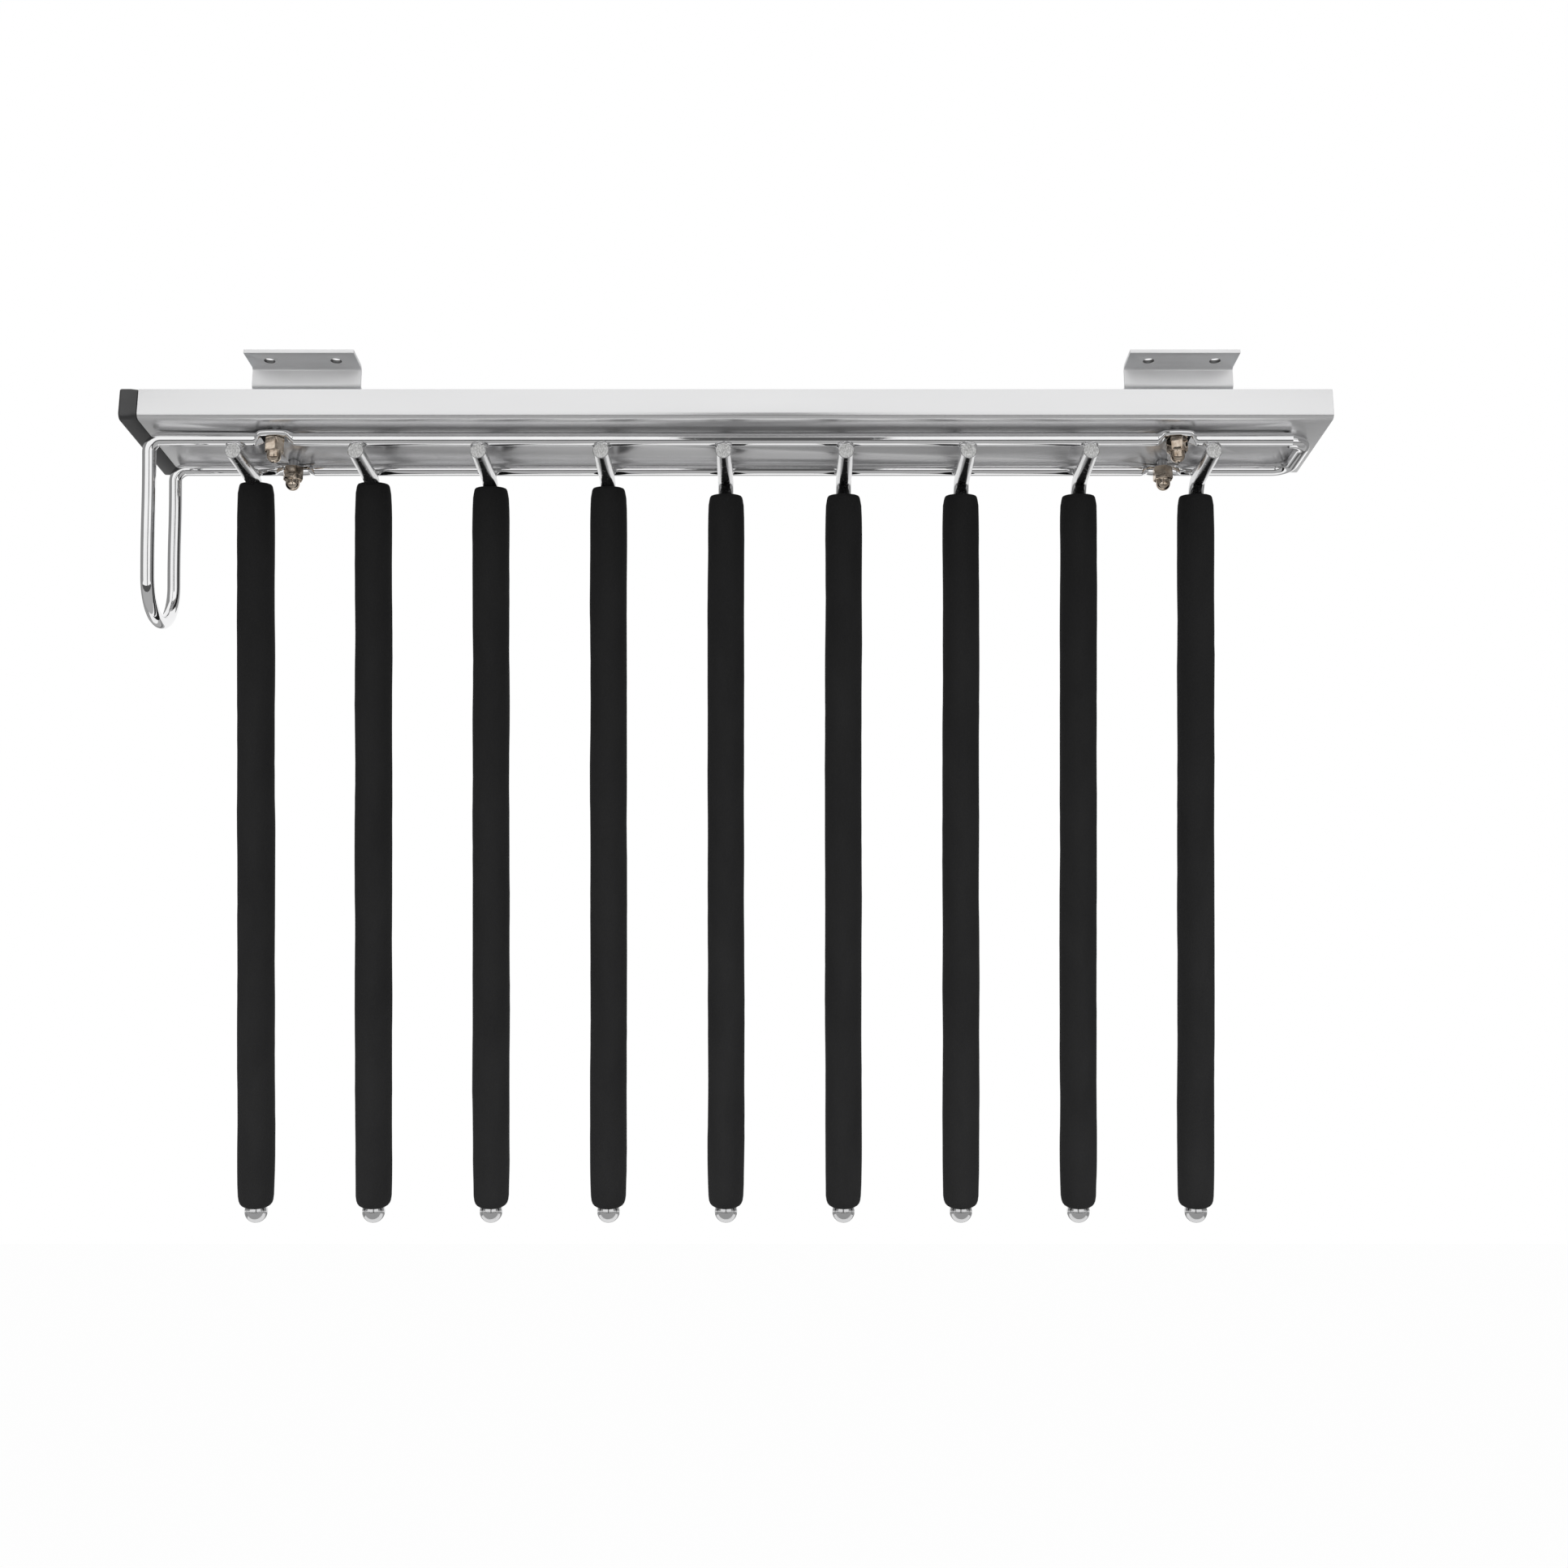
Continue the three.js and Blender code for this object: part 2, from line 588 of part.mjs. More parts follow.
function handleStations() {
  const atWire = { across: wireSpacing / 2 * Math.cos(tilt), down: wireSpacing / 2 * Math.sin(tilt) };
  const loopRadius = handleWidth / 2;
  const loopDown = handleDrop - loopRadius;
  const outward = axisX.clone().negate();
  const bend = (side, k) => {
    const angle = Math.PI / 2 * k / bendSteps;
    const corner = handlePoint(side * atWire.across, side * atWire.down);
    const centre = corner.addScaledVector(axisX, frontBend * (1 - Math.sin(angle)))
      .addScaledVector(alongArm, frontBend * (1 - Math.cos(angle)));
    const heading = axisX.clone().multiplyScalar(side * Math.cos(angle))
      .addScaledVector(alongArm, -side * Math.sin(angle));
    const up = alongArm.clone().multiplyScalar(-Math.cos(angle)).addScaledVector(axisX, -Math.sin(angle));
    return roundStation(centre, heading, up);
  };
  const strand = (side, share) => {
    const top = side * atWire.down + frontBend;
    const eased = share * share * (3 - 2 * share);
    const slope = 6 * share * (1 - share) * (loopRadius - atWire.across) / (loopDown - top);
    const centre = handlePoint(side * THREE.MathUtils.lerp(atWire.across, loopRadius, eased),
      THREE.MathUtils.lerp(top, loopDown, share));
    const heading = alongArm.clone().multiplyScalar(-side).addScaledVector(acrossArm, -slope).normalize();
    return roundStation(centre, heading, outward);
  };
  const loop = (k) => {
    const angle = Math.PI * k / handleSteps;
    const centre = handlePoint(-loopRadius * Math.cos(angle), loopDown + loopRadius * Math.sin(angle));
    const heading = alongArm.clone().multiplyScalar(Math.cos(angle))
      .addScaledVector(acrossArm, Math.sin(angle));
    return roundStation(centre, heading, outward);
  };
  const strandShares = [0.25, 0.5, 0.75];
  const bendCounts = Array.from({ length: bendSteps + 1 }, (_, k) => k);
  return [
    ...bendCounts.map((k) => bend(-1, k)),
    ...strandShares.map((share) => strand(-1, share)),
    ...Array.from({ length: handleSteps + 1 }, (_, k) => loop(k)),
    ...strandShares.slice().reverse().map((share) => strand(1, share)),
    ...bendCounts.slice().reverse().map((k) => bend(1, k)),
  ];
}

function rearCorner(side) {
  return Array.from({ length: bendSteps + 1 }, (_, k) => {
    const angle = Math.PI / 2 * (side > 0 ? k : bendSteps - k) / bendSteps;
    const centre = new THREE.Vector3(frameRearX - rearBend * (1 - Math.sin(angle)),
      side * (wireSpacing / 2 - rearBend * (1 - Math.cos(angle))), wireZ);
    const heading = new THREE.Vector3(side * Math.cos(angle), -Math.sin(angle), 0);
    return roundStation(centre, heading, axisZ);
  });
}

function wireFrame() {
  const forwards = axisX.clone().negate();
  const near = -wireSpacing / 2;
  const stations = [
    ...lugStations(boltXs[1], near, forwards), ...lugStations(boltXs[0], near, forwards),
    ...handleStations(),
    ...lugStations(boltXs[0], -near, axisX), ...lugStations(boltXs[1], -near, axisX),
    ...rearCorner(1), ...rearCorner(-1),
  ];
  let made = solidOf(skin(stations.map((station) => ring(station, wireSides)), true));
  for (const x of boltXs) {
    for (const y of [near, -near]) {
      made = made.subtract(barZ(x, y, lugBottomZ - cutOverrun, lugTopZ + cutOverrun,
        boltDiameter / 2 + holeGap));
    }
  }
  return made;
}

rack.add(piece('wire_frame', wireFrame(), chrome));

// Bolts through the cover and the lugs, with domed cap nuts on them
const boltLength = coverInnerZ + seatGap - nutSeatZ + nutBoreDepth - seatGap;

function capNut() {
  const domeRadius = nutDomeDiameter / 2;
  const domeStartAngle = -60;
  const hexRadius = nutWidth / Math.sqrt(3);
  const tipZ = -nutHexHeight - nutDomeHeight;
  const dome = solidOf(turnedZ([
    [0, tipZ],
    ...arc(0, tipZ + domeRadius, domeRadius, domeStartAngle, 0, domeSteps).map((p) => [p.x, p.y]),
    [domeRadius, -nutHexHeight + cutOverrun], [0, -nutHexHeight + cutOverrun],
  ]));
  const hex = solidOf(new THREE.CylinderGeometry(hexRadius, hexRadius, nutHexHeight, 6)
    .rotateX(Math.PI / 2).translate(0, 0, -nutHexHeight / 2));
  const chamfered = solidOf(turnedZ([
    [0, -nutHexHeight], [hexRadius - nutChamfer, -nutHexHeight],
    [hexRadius + cutOverrun, -nutHexHeight + nutChamfer + cutOverrun], [hexRadius + cutOverrun, 0], [0, 0],
  ], roundSides));
  const bore = barZ(0, 0, -nutBoreDepth, cutOverrun, boltDiameter / 2 + holeGap / 2, ballSides);
  return hex.intersect(chamfered).add(dome).subtract(bore);
}

boltXs.forEach((x, i) => {
  [-1, 1].forEach((side, k) => {
    const number = 2 * i + k + 1;
    const y = side * wireSpacing / 2;
    const bolt = piece(`frame_bolt_${number}`,
      headedPin(boltDiameter, boltLength, boltHeadDiameter, boltHeadHeight), brightSteel);
    bolt.position.set(x, y, coverInnerZ + seatGap);
    const nut = piece(`cap_nut_${number}`, capNut(), warmNickel);
    nut.position.set(x, y, nutSeatZ);
    rack.add(bolt, nut);
  });
});

// Arms: a rod under both wires, bent down and out at the far one, a foam sleeve and an end ball
const armCornerY = wireSpacing / 2 + armCornerPastWire;
const rodRadius = rodDiameter / 2;
const endBallRadius = endBallDiameter / 2;
const boreFloor = Math.sqrt(endBallRadius ** 2 - (rodRadius + holeGap) ** 2) - endBallBoreDepth;

function rodShape() {
  const turn = Math.PI / 2 - tilt;
  const reach = rodBend * Math.tan(turn / 2);
  const station = (centre, heading) =>
    ({ centre, heading, up: axisX, halfWidth: rodRadius, halfHeight: rodRadius });
  const start = new THREE.Vector3(0, -(wireSpacing + wireDiameter) / 2, rodZ);
  const corner = new THREE.Vector3(0, armCornerY, rodZ);
  const bendStations = Array.from({ length: bendSteps + 1 }, (_, k) => {
    const angle = turn * k / bendSteps;
    const centre = corner.clone().add(new THREE.Vector3(0, -reach + rodBend * Math.sin(angle),
      -rodBend * (1 - Math.cos(angle))));
    return station(centre, new THREE.Vector3(0, Math.cos(angle), -Math.sin(angle)));
  });
  const end = corner.clone().addScaledVector(alongArm, armLength - boreFloor - seatGap);
  return skin([station(start, axisY), ...bendStations, station(end, alongArm)]
    .map((one) => ring(one, rodSides)), false);
}

// The sleeve and the ball are turned about the arm's own axis, with heights along the arm
function sleeveShape() {
  const outer = sleeveDiameter / 2;
  const bore = rodRadius + foamGap;
  const pocket = endBallRadius + foamGap;
  const end = armLength - foamGap;
  const pocketHeight = (radius) => armLength - Math.sqrt(pocket ** 2 - radius ** 2);
  const mouth = Math.sqrt(pocket ** 2 - foamGap ** 2);
  const midway = (bore + mouth) / 2;
  const cornerShare = 0.3;
  const points = [
    [bore, sleeveStart], [outer - sleeveShoulder, sleeveStart],
    [outer - sleeveShoulder * cornerShare, sleeveStart + sleeveShoulder * cornerShare],
    [outer, sleeveStart + sleeveShoulder], [outer, end - sleeveShoulder],
    [outer - sleeveShoulder * cornerShare, end - sleeveShoulder * cornerShare], [mouth, end],
    [midway, pocketHeight(midway)], [bore, pocketHeight(bore)], [bore, sleeveStart],
  ];
  return new THREE.LatheGeometry(points.map(([r, h]) => new THREE.Vector2(r, h)), sleeveSides);
}

function endBallShape() {
  const boreRadius = rodRadius + holeGap;
  const mouthAngle = THREE.MathUtils.radToDeg(Math.acos(boreRadius / endBallRadius));
  const surface = arc(0, 0, endBallRadius, 90, -mouthAngle, endBallSteps).map((p) => [p.x, armLength + p.y]);
  surface[0][0] = 0;
  const points = [...surface, [boreRadius, armLength - boreFloor], [0, armLength - boreFloor]].reverse();
  return new THREE.LatheGeometry(points.map(([r, h]) => new THREE.Vector2(r, h)), ballSides);
}

for (let i = 0; i < armCount; i++) {
  const x = firstArmX + i * armPitch;
  const rod = piece(`arm_rod_${i + 1}`, rodShape(), chrome);
  rod.position.x = x;
  const arm = new THREE.Group();
  arm.position.set(x, armCornerY, rodZ);
  arm.rotation.x = tilt - Math.PI / 2;
  arm.add(piece(`foam_sleeve_${i + 1}`, sleeveShape(), blackFoam));
  arm.add(piece(`end_ball_${i + 1}`, endBallShape(), chrome));
  rack.add(rod, arm);
}

export default rack;
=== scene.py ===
from math import acos, atan, atan2, cos, degrees, hypot, pi, radians, sin, sqrt, tan

import bmesh
import bpy
from mathutils import Matrix, Vector, noise


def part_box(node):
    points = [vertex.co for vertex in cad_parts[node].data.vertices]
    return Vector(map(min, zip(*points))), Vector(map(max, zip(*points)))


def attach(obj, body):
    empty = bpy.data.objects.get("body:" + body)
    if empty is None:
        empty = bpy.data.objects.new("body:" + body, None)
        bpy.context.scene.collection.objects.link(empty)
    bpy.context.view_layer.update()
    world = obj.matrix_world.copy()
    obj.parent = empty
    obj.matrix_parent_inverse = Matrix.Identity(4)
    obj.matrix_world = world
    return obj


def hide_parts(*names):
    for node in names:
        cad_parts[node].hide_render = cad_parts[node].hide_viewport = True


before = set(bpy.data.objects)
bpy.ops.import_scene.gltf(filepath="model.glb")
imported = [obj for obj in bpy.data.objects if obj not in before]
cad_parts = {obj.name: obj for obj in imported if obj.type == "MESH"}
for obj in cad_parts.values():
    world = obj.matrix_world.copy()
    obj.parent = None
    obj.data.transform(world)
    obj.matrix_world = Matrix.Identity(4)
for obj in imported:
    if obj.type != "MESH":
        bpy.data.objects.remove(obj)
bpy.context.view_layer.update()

mm = 0.001

# Studio: the rack hangs by its brackets over a pale floor in a white surround. A softbox above and
# behind the camera and one on each side light it, and its metal shows the surround and grey cards.
camera_place = Vector((16.0, -696.4, -322.3)) * mm
camera_pitch = radians(12.9)
lens_mm = 43.58
sensor_mm = 36
bpy.ops.object.camera_add(location=camera_place, rotation=(radians(90) + camera_pitch, 0, 0))
camera = bpy.context.object
camera.name = "camera"
camera.data.sensor_width = sensor_mm
camera.data.lens = lens_mm
bpy.context.scene.camera = camera
bpy.context.scene.view_settings.view_transform = "Standard"

surround_light = 0.30
floor_z = -520 * mm
floor_size = 30
floor_grey = 0.86
floor_roughness = 0.8
floor_white_share = 0.98


def seen_directly(tree):
    """1 where the camera looks at a surface or metal shows it, and 0 for the light it gives."""
    rays = tree.nodes.new("ShaderNodeLightPath")
    seen = rays.outputs["Is Camera Ray"]
    for kind in ("Is Glossy Ray", "Is Transmission Ray"):
        either = tree.nodes.new("ShaderNodeMath")
        either.operation = "MAXIMUM"
        tree.links.new(seen, either.inputs[0])
        tree.links.new(rays.outputs[kind], either.inputs[1])
        seen = either.outputs[0]
    return seen


world = bpy.data.worlds.new("white_surround")
world.use_nodes = True
bpy.context.scene.world = world
tree = world.node_tree
lighting = tree.nodes["Background"]
lighting.inputs["Color"].default_value = (1, 1, 1, 1)
lighting.inputs["Strength"].default_value = surround_light
white = tree.nodes.new("ShaderNodeBackground")
white.inputs["Color"].default_value = (1, 1, 1, 1)
white.inputs["Strength"].default_value = 1
choice = tree.nodes.new("ShaderNodeMixShader")
tree.links.new(seen_directly(tree), choice.inputs["Fac"])
tree.links.new(lighting.outputs[0], choice.inputs[1])
tree.links.new(white.outputs[0], choice.inputs[2])
tree.links.new(choice.outputs[0], tree.nodes["World Output"].inputs["Surface"])

bpy.ops.object.select_all(action="DESELECT")
bpy.ops.mesh.primitive_plane_add(size=floor_size, location=(0, 0, floor_z))
floor = bpy.context.object
floor.name = "floor"
pale = bpy.data.materials.new("pale_floor")
pale.use_nodes = True
tree = pale.node_tree
paint = tree.nodes["Principled BSDF"]
paint.inputs["Base Color"].default_value = (floor_grey, floor_grey, floor_grey, 1)
paint.inputs["Roughness"].default_value = floor_roughness
glow = tree.nodes.new("ShaderNodeEmission")
glow.inputs["Strength"].default_value = 1
share = tree.nodes.new("ShaderNodeMath")
share.operation = "MULTIPLY"
share.inputs[1].default_value = floor_white_share
choice = tree.nodes.new("ShaderNodeMixShader")
tree.links.new(seen_directly(tree), share.inputs[0])
tree.links.new(share.outputs[0], choice.inputs["Fac"])
tree.links.new(paint.outputs[0], choice.inputs[1])
tree.links.new(glow.outputs[0], choice.inputs[2])
tree.links.new(choice.outputs[0], tree.nodes["Material Output"].inputs["Surface"])
floor.data.materials.append(pale)

rack_middle = Vector((0, 0, -0.15))


def softbox(name, place, width, height, radiance):
    """A rectangular area lamp that faces the rack. The metal shows the white surround, not the lamp."""
    towards = rack_middle - Vector(place)
    bpy.ops.object.light_add(type="AREA", location=place)
    lamp = bpy.context.object
    lamp.name = name
    lamp.rotation_euler = towards.to_track_quat("-Z", "Y").to_euler()
    lamp.data.shape = "RECTANGLE"
    lamp.data.size = width
    lamp.data.size_y = height
    lamp.data.energy = radiance * pi * width * height
    lamp.visible_camera = lamp.visible_glossy = False


def grey_card(name, place, facing, width, height, shade):
    """A plain card that only the rack's bright metal shows, and that lights and shades nothing."""
    aim = Vector(facing).to_track_quat("Z", "Y").to_euler()
    bpy.ops.object.select_all(action="DESELECT")
    bpy.ops.mesh.primitive_plane_add(size=1, location=place, rotation=aim)
    card = bpy.context.object
    card.name = name
    card.scale = (width, height, 1)
    card.visible_camera = card.visible_diffuse = card.visible_shadow = False
    paper = bpy.data.materials.new(name)
    paper.use_nodes = True
    tree = paper.node_tree
    glow = tree.nodes.new("ShaderNodeEmission")
    glow.inputs["Color"].default_value = (shade, shade, shade, 1)
    tree.links.new(glow.outputs[0], tree.nodes["Material Output"].inputs["Surface"])
    card.data.materials.append(paper)


softbox("front_softbox", (0, -2.2, 1.15), width=4.2, height=2.6, radiance=0.70)
softbox("left_softbox", (-1.3, -0.95, 0), width=0.9, height=1.2, radiance=0.80)
softbox("right_softbox", (1.25, -1.0, 0), width=1.0, height=1.2, radiance=0.80)

low_card_z = floor_z + 5 * mm
top_card_z = floor_z + 10 * mm
for name, middle_x, middle_y, z, width, depth, shade in (
        ("floor_front", 0, -0.185, low_card_z, 6.0, 0.53, 0.42),
        ("floor_edge", 0, -0.63, top_card_z, 5.0, 0.36, 0.09),
        ("floor_left", -1.75, 0.265, low_card_z, 2.5, 0.37, 0.32),
        ("floor_right", 1.75, 0.265, low_card_z, 2.5, 0.37, 0.32),
        ("floor_back", 0, 1.475, low_card_z, 6.0, 2.05, 0.42),
        ("floor_line", 0, 1.16, top_card_z, 5.0, 0.34, 0.12)):
    grey_card(name, (middle_x, middle_y, z), (0, 0, 1), width, depth, shade)
grey_card("camera_side", (camera_place.x, -0.76, -0.20), (0, 1, 0), width=0.16, height=0.62, shade=0.10)
for name, side in (("left_wall", -1), ("right_wall", 1)):
    grey_card(name, (side * 1.3, 0.375, 0.46), (-side, 0, 0), width=2.45, height=1.50, shade=0.28)

# Brackets: two strips of steel folded to a Z, with a satin silver coat. The upper flange has two
# screw holes and lies against the panel, and the lower one is riveted to the slide's outer member.
bracket_gauge = 1.5 * mm
bracket_bend = 1.9 * mm
bracket_edge_round = 0.18 * mm
bracket_web_y = -15.5 * mm
panel_hole_spacing = 25.5 * mm
panel_hole_diameter = 4.2 * mm
rivet_spacing = 26 * mm
rivet_y = -1.5 * mm
rivet_hole_diameter = 4.3 * mm
hole_wall_margin = 0.05 * mm


def select_only(piece):
    """Makes a piece the only selected object, and the active one."""
    bpy.ops.object.select_all(action="DESELECT")
    piece.select_set(True)
    bpy.context.view_layer.objects.active = piece


def finished(piece, kind, **settings):
    """Adds a modifier with its settings and applies it."""
    select_only(piece)
    modifier = piece.modifiers.new(kind.lower(), kind)
    for setting, value in settings.items():
        setattr(modifier, setting, value)
    bpy.ops.object.modifier_apply(modifier=modifier.name)
    return piece


def settle(piece, place=(0, 0, 0), aim=(0, 0, 0)):
    """Turns and moves a piece, and puts its place into its mesh."""
    select_only(piece)
    piece.rotation_euler = aim
    piece.location = place
    bpy.ops.object.transform_apply(location=True, rotation=True, scale=True)
    return piece


def smooth(piece, sharpest=35):
    """Shades a piece smooth, but not over edges sharper than an angle in degrees."""
    select_only(piece)
    bpy.ops.object.shade_smooth_by_angle(angle=radians(sharpest))
    return piece


def arc(middle, radius, start, end, steps):
    """Points (across, up) of an arc, with its angles in degrees."""
    angles = [radians(start + (end - start) * i / steps) for i in range(steps + 1)]
    return [(middle[0] + radius * cos(a), middle[1] + radius * sin(a)) for a in angles]


def rounded(corners, steps=8):
    """Points of an open line, with an arc at each corner (across, up, radius) that has a radius."""
    points = [tuple(corners[0][:2])]
    for before, corner, after in zip(corners, corners[1:], corners[2:]):
        here = Vector(corner[:2])
        radius = corner[2] if len(corner) > 2 else 0
        if not radius:
            points.append(tuple(here))
            continue
        back = (Vector(before[:2]) - here).normalized()
        ahead = (Vector(after[:2]) - here).normalized()
        half = acos(max(-1, min(1, back.dot(ahead)))) / 2
        middle = here + (back + ahead).normalized() * radius / sin(half)
        start = here + back * radius / tan(half) - middle
        end = here + ahead * radius / tan(half) - middle
        turn = atan2(start.x * end.y - start.y * end.x, start.dot(end))
        turns = [Matrix.Rotation(turn * i / steps, 2) for i in range(steps + 1)]
        points += [tuple(middle + rotation @ start) for rotation in turns]
    return points + [tuple(corners[-1][:2])]


def folded(name, line, gauge, low_x, high_x):
    """A strip of sheet: the middle line (y, z) of its section drawn out along X and given its gauge."""
    bpy.ops.object.select_all(action="DESELECT")
    bpy.ops.mesh.primitive_plane_add(size=mm, location=(0, 0, 0))
    piece = bpy.context.object
    piece.name = name
    shape = bmesh.new()
    points = [shape.verts.new((low_x, y, z)) for y, z in line]
    for a, b in zip(points, points[1:]):
        shape.edges.new((a, b))
    shape.to_mesh(piece.data)
    shape.free()
    bpy.ops.object.mode_set(mode="EDIT")
    bpy.ops.mesh.select_all(action="SELECT")
    bpy.ops.mesh.extrude_region_move(TRANSFORM_OT_translate={"value": (high_x - low_x, 0, 0)})
    bpy.ops.object.mode_set(mode="OBJECT")
    finished(piece, "SOLIDIFY", thickness=gauge, offset=0, use_even_offset=True)
    bpy.ops.object.mode_set(mode="EDIT")
    bpy.ops.mesh.select_all(action="SELECT")
    bpy.ops.mesh.normals_make_consistent(inside=False)
    bpy.ops.object.mode_set(mode="OBJECT")
    return piece


def cutter_bar(place, radius, length, aim=(0, 0, 0), sides=48):
    """A round bar that cuts a hole."""
    bpy.ops.object.select_all(action="DESELECT")
    bpy.ops.mesh.primitive_cylinder_add(vertices=sides, radius=radius, depth=length, location=place,
                                        rotation=aim)
    return bpy.context.object


def cut(piece, cutter, operation="DIFFERENCE"):
    """Cuts piece with another one, or joins the two, and removes the other."""
    finished(piece, "BOOLEAN", operation=operation, object=cutter, solver="EXACT")
    bpy.data.objects.remove(cutter, do_unlink=True)
    return piece


def break_edges(piece, width, segments=2, sharpest=40):
    """Small rounds on the edges that are sharper than an angle."""
    finished(piece, "BEVEL", width=width, segments=segments, limit_method="ANGLE",
             angle_limit=radians(sharpest), use_clamp_overlap=True, miter_outer="MITER_ARC")
    return smooth(piece)


def new_finish(name, metallic):
    """A material with its tree, its shader and the place on the piece that its patterns read."""
    finish = bpy.data.materials.new(name)
    finish.use_nodes = True
    tree = finish.node_tree
    shader = tree.nodes["Principled BSDF"]
    shader.inputs["Metallic"].default_value = metallic
    place = tree.nodes.new("ShaderNodeTexCoord").outputs["Object"]
    return finish, tree, shader, place


def speckle(tree, place, size, stretch=(1, 1, 1), detail=3):
    """A noise value from 0 to 1 whose grains are about size across, times the stretch of each axis."""
    mapping = tree.nodes.new("ShaderNodeMapping")
    mapping.inputs["Scale"].default_value = [1 / (size * s) for s in stretch]
    grains = tree.nodes.new("ShaderNodeTexNoise")
    grains.inputs["Scale"].default_value = 1
    grains.inputs["Detail"].default_value = detail
    tree.links.new(place, mapping.inputs["Vector"])
    tree.links.new(mapping.outputs[0], grains.inputs["Vector"])
    return grains.outputs["Fac"]


def between(tree, value, low, high, low_from=0.3, high_from=0.7):
    """A number that goes from low to high as the noise value does."""
    span = tree.nodes.new("ShaderNodeMapRange")
    span.inputs["From Min"].default_value = low_from
    span.inputs["From Max"].default_value = high_from
    span.inputs["To Min"].default_value = low
    span.inputs["To Max"].default_value = high
    tree.links.new(value, span.inputs["Value"])
    return span.outputs["Result"]


def tinted(tree, value, dark, light, low=0.3, high=0.7):
    """A colour between dark and light by a noise value."""
    ramp = tree.nodes.new("ShaderNodeValToRGB")
    for element, place, colour in zip(ramp.color_ramp.elements, (low, high), (dark, light)):
        element.position = place
        element.color = (*colour, 1)
    tree.links.new(value, ramp.inputs["Fac"])
    return ramp.outputs["Color"]


def surfaced(tree, shader, colour, roughness, bumps, depth):
    """Gives a finish its colour, its roughness and its bumps of a depth in metres."""
    relief = tree.nodes.new("ShaderNodeBump")
    relief.inputs["Strength"].default_value = 1
    relief.inputs["Distance"].default_value = depth
    tree.links.new(bumps, relief.inputs["Height"])
    tree.links.new(relief.outputs[0], shader.inputs["Normal"])
    tree.links.new(colour, shader.inputs["Base Color"])
    tree.links.new(roughness, shader.inputs["Roughness"])


def satin_silver(name, dark, light, rough, bare):
    """Satin silver metal with faint lines along X: a share of bare metal under a matt skin."""
    finish, tree, shader, place = new_finish(name, bare)
    lines = speckle(tree, place, 0.5 * mm, (60, 1, 1))
    clouds = speckle(tree, place, 25 * mm, (3, 1, 1), 2)
    surfaced(tree, shader, tinted(tree, clouds, dark, light),
             between(tree, lines, rough - 0.015, rough + 0.015), lines, 0.0002 * mm)
    return finish


def copied(pattern, name, place=(0, 0, 0), aim=(0, 0, 0)):
    """A copy of a modelled piece with its own mesh, turned and moved to its place."""
    piece = pattern.copy()
    piece.data = pattern.data.copy()
    piece.name = name
    bpy.context.collection.objects.link(piece)
    return settle(piece, place, aim)


def stands_for(piece, node, body, finish):
    """Gives a finished piece its material, and puts it in the place of its CAD node."""
    piece.data.materials.append(finish)
    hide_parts(node)
    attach(piece, body)


def middle(node):
    """The middle of a CAD node's box."""
    low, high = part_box(node)
    return (low + high) / 2


def punched_wall_painted_shade(name):
    """The torn wall of a punched hole: rough and dull, and darkened with painted shade."""
    finish, tree, shader, place = new_finish(name, 0.6)
    tears = speckle(tree, place, 0.25 * mm, (3, 3, 1))
    surfaced(tree, shader, tinted(tree, tears, (0.07, 0.07, 0.07), (0.24, 0.24, 0.24)),
             between(tree, tears, 0.4, 0.6), tears, 0.02 * mm)
    return finish


hole_wall = punched_wall_painted_shade("bracket_hole_wall_painted_shade")
bracket_satin = satin_silver("bracket_satin", (0.85, 0.85, 0.855), (0.89, 0.89, 0.895), 0.42, 0.45)
low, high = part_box("bracket_front")
length = high.x - low.x
upper_z = high.z - bracket_gauge / 2
lower_z = low.z + bracket_gauge / 2
section = rounded([(low.y, upper_z), (bracket_web_y, upper_z, bracket_bend),
                   (bracket_web_y, lower_z, bracket_bend), (high.y, lower_z)])
pattern = folded("bracket_pattern", section, bracket_gauge, -length / 2, length / 2)
hole_y = (low.y + bracket_web_y) / 2
for spacing, y, z, diameter in ((panel_hole_spacing, hole_y, upper_z, panel_hole_diameter),
                                (rivet_spacing, rivet_y, lower_z, rivet_hole_diameter)):
    for side in (-1, 1):
        cut(pattern, cutter_bar((side * spacing / 2, y, z), diameter / 2, 3 * bracket_gauge))
break_edges(pattern, bracket_edge_round)
for end in ("front", "rear"):
    bracket = copied(pattern, f"{end}_bracket", (middle(f"bracket_{end}").x, 0, 0))
    stands_for(bracket, f"bracket_{end}", "panel_side", bracket_satin)
    # The walls of the panel holes take the dark finish: painted shade inside the holes, over rough
    # punched metal.
    bracket.data.materials.append(hole_wall)
    for face in bracket.data.polygons:
        from_hole = abs(face.center.x - middle(f"bracket_{end}").x) - panel_hole_spacing / 2
        if hypot(from_hole, face.center.y - hole_y) < panel_hole_diameter / 2 + hole_wall_margin:
            face.material_index = 1
bpy.data.objects.remove(pattern)

# Rivets: four bright steel rivets with low domed heads, through each lower flange and the back
# of the slide's outer member.
rivet_diameter = 3.8 * mm
rivet_head_height = 1.3 * mm
rivet_rim = 0.5 * mm
rivet_point_share = 0.92
rivet_point_chamfer = 0.2 * mm
rivet_head_edge = 0.1 * mm
merge_distance = 0.02 * mm


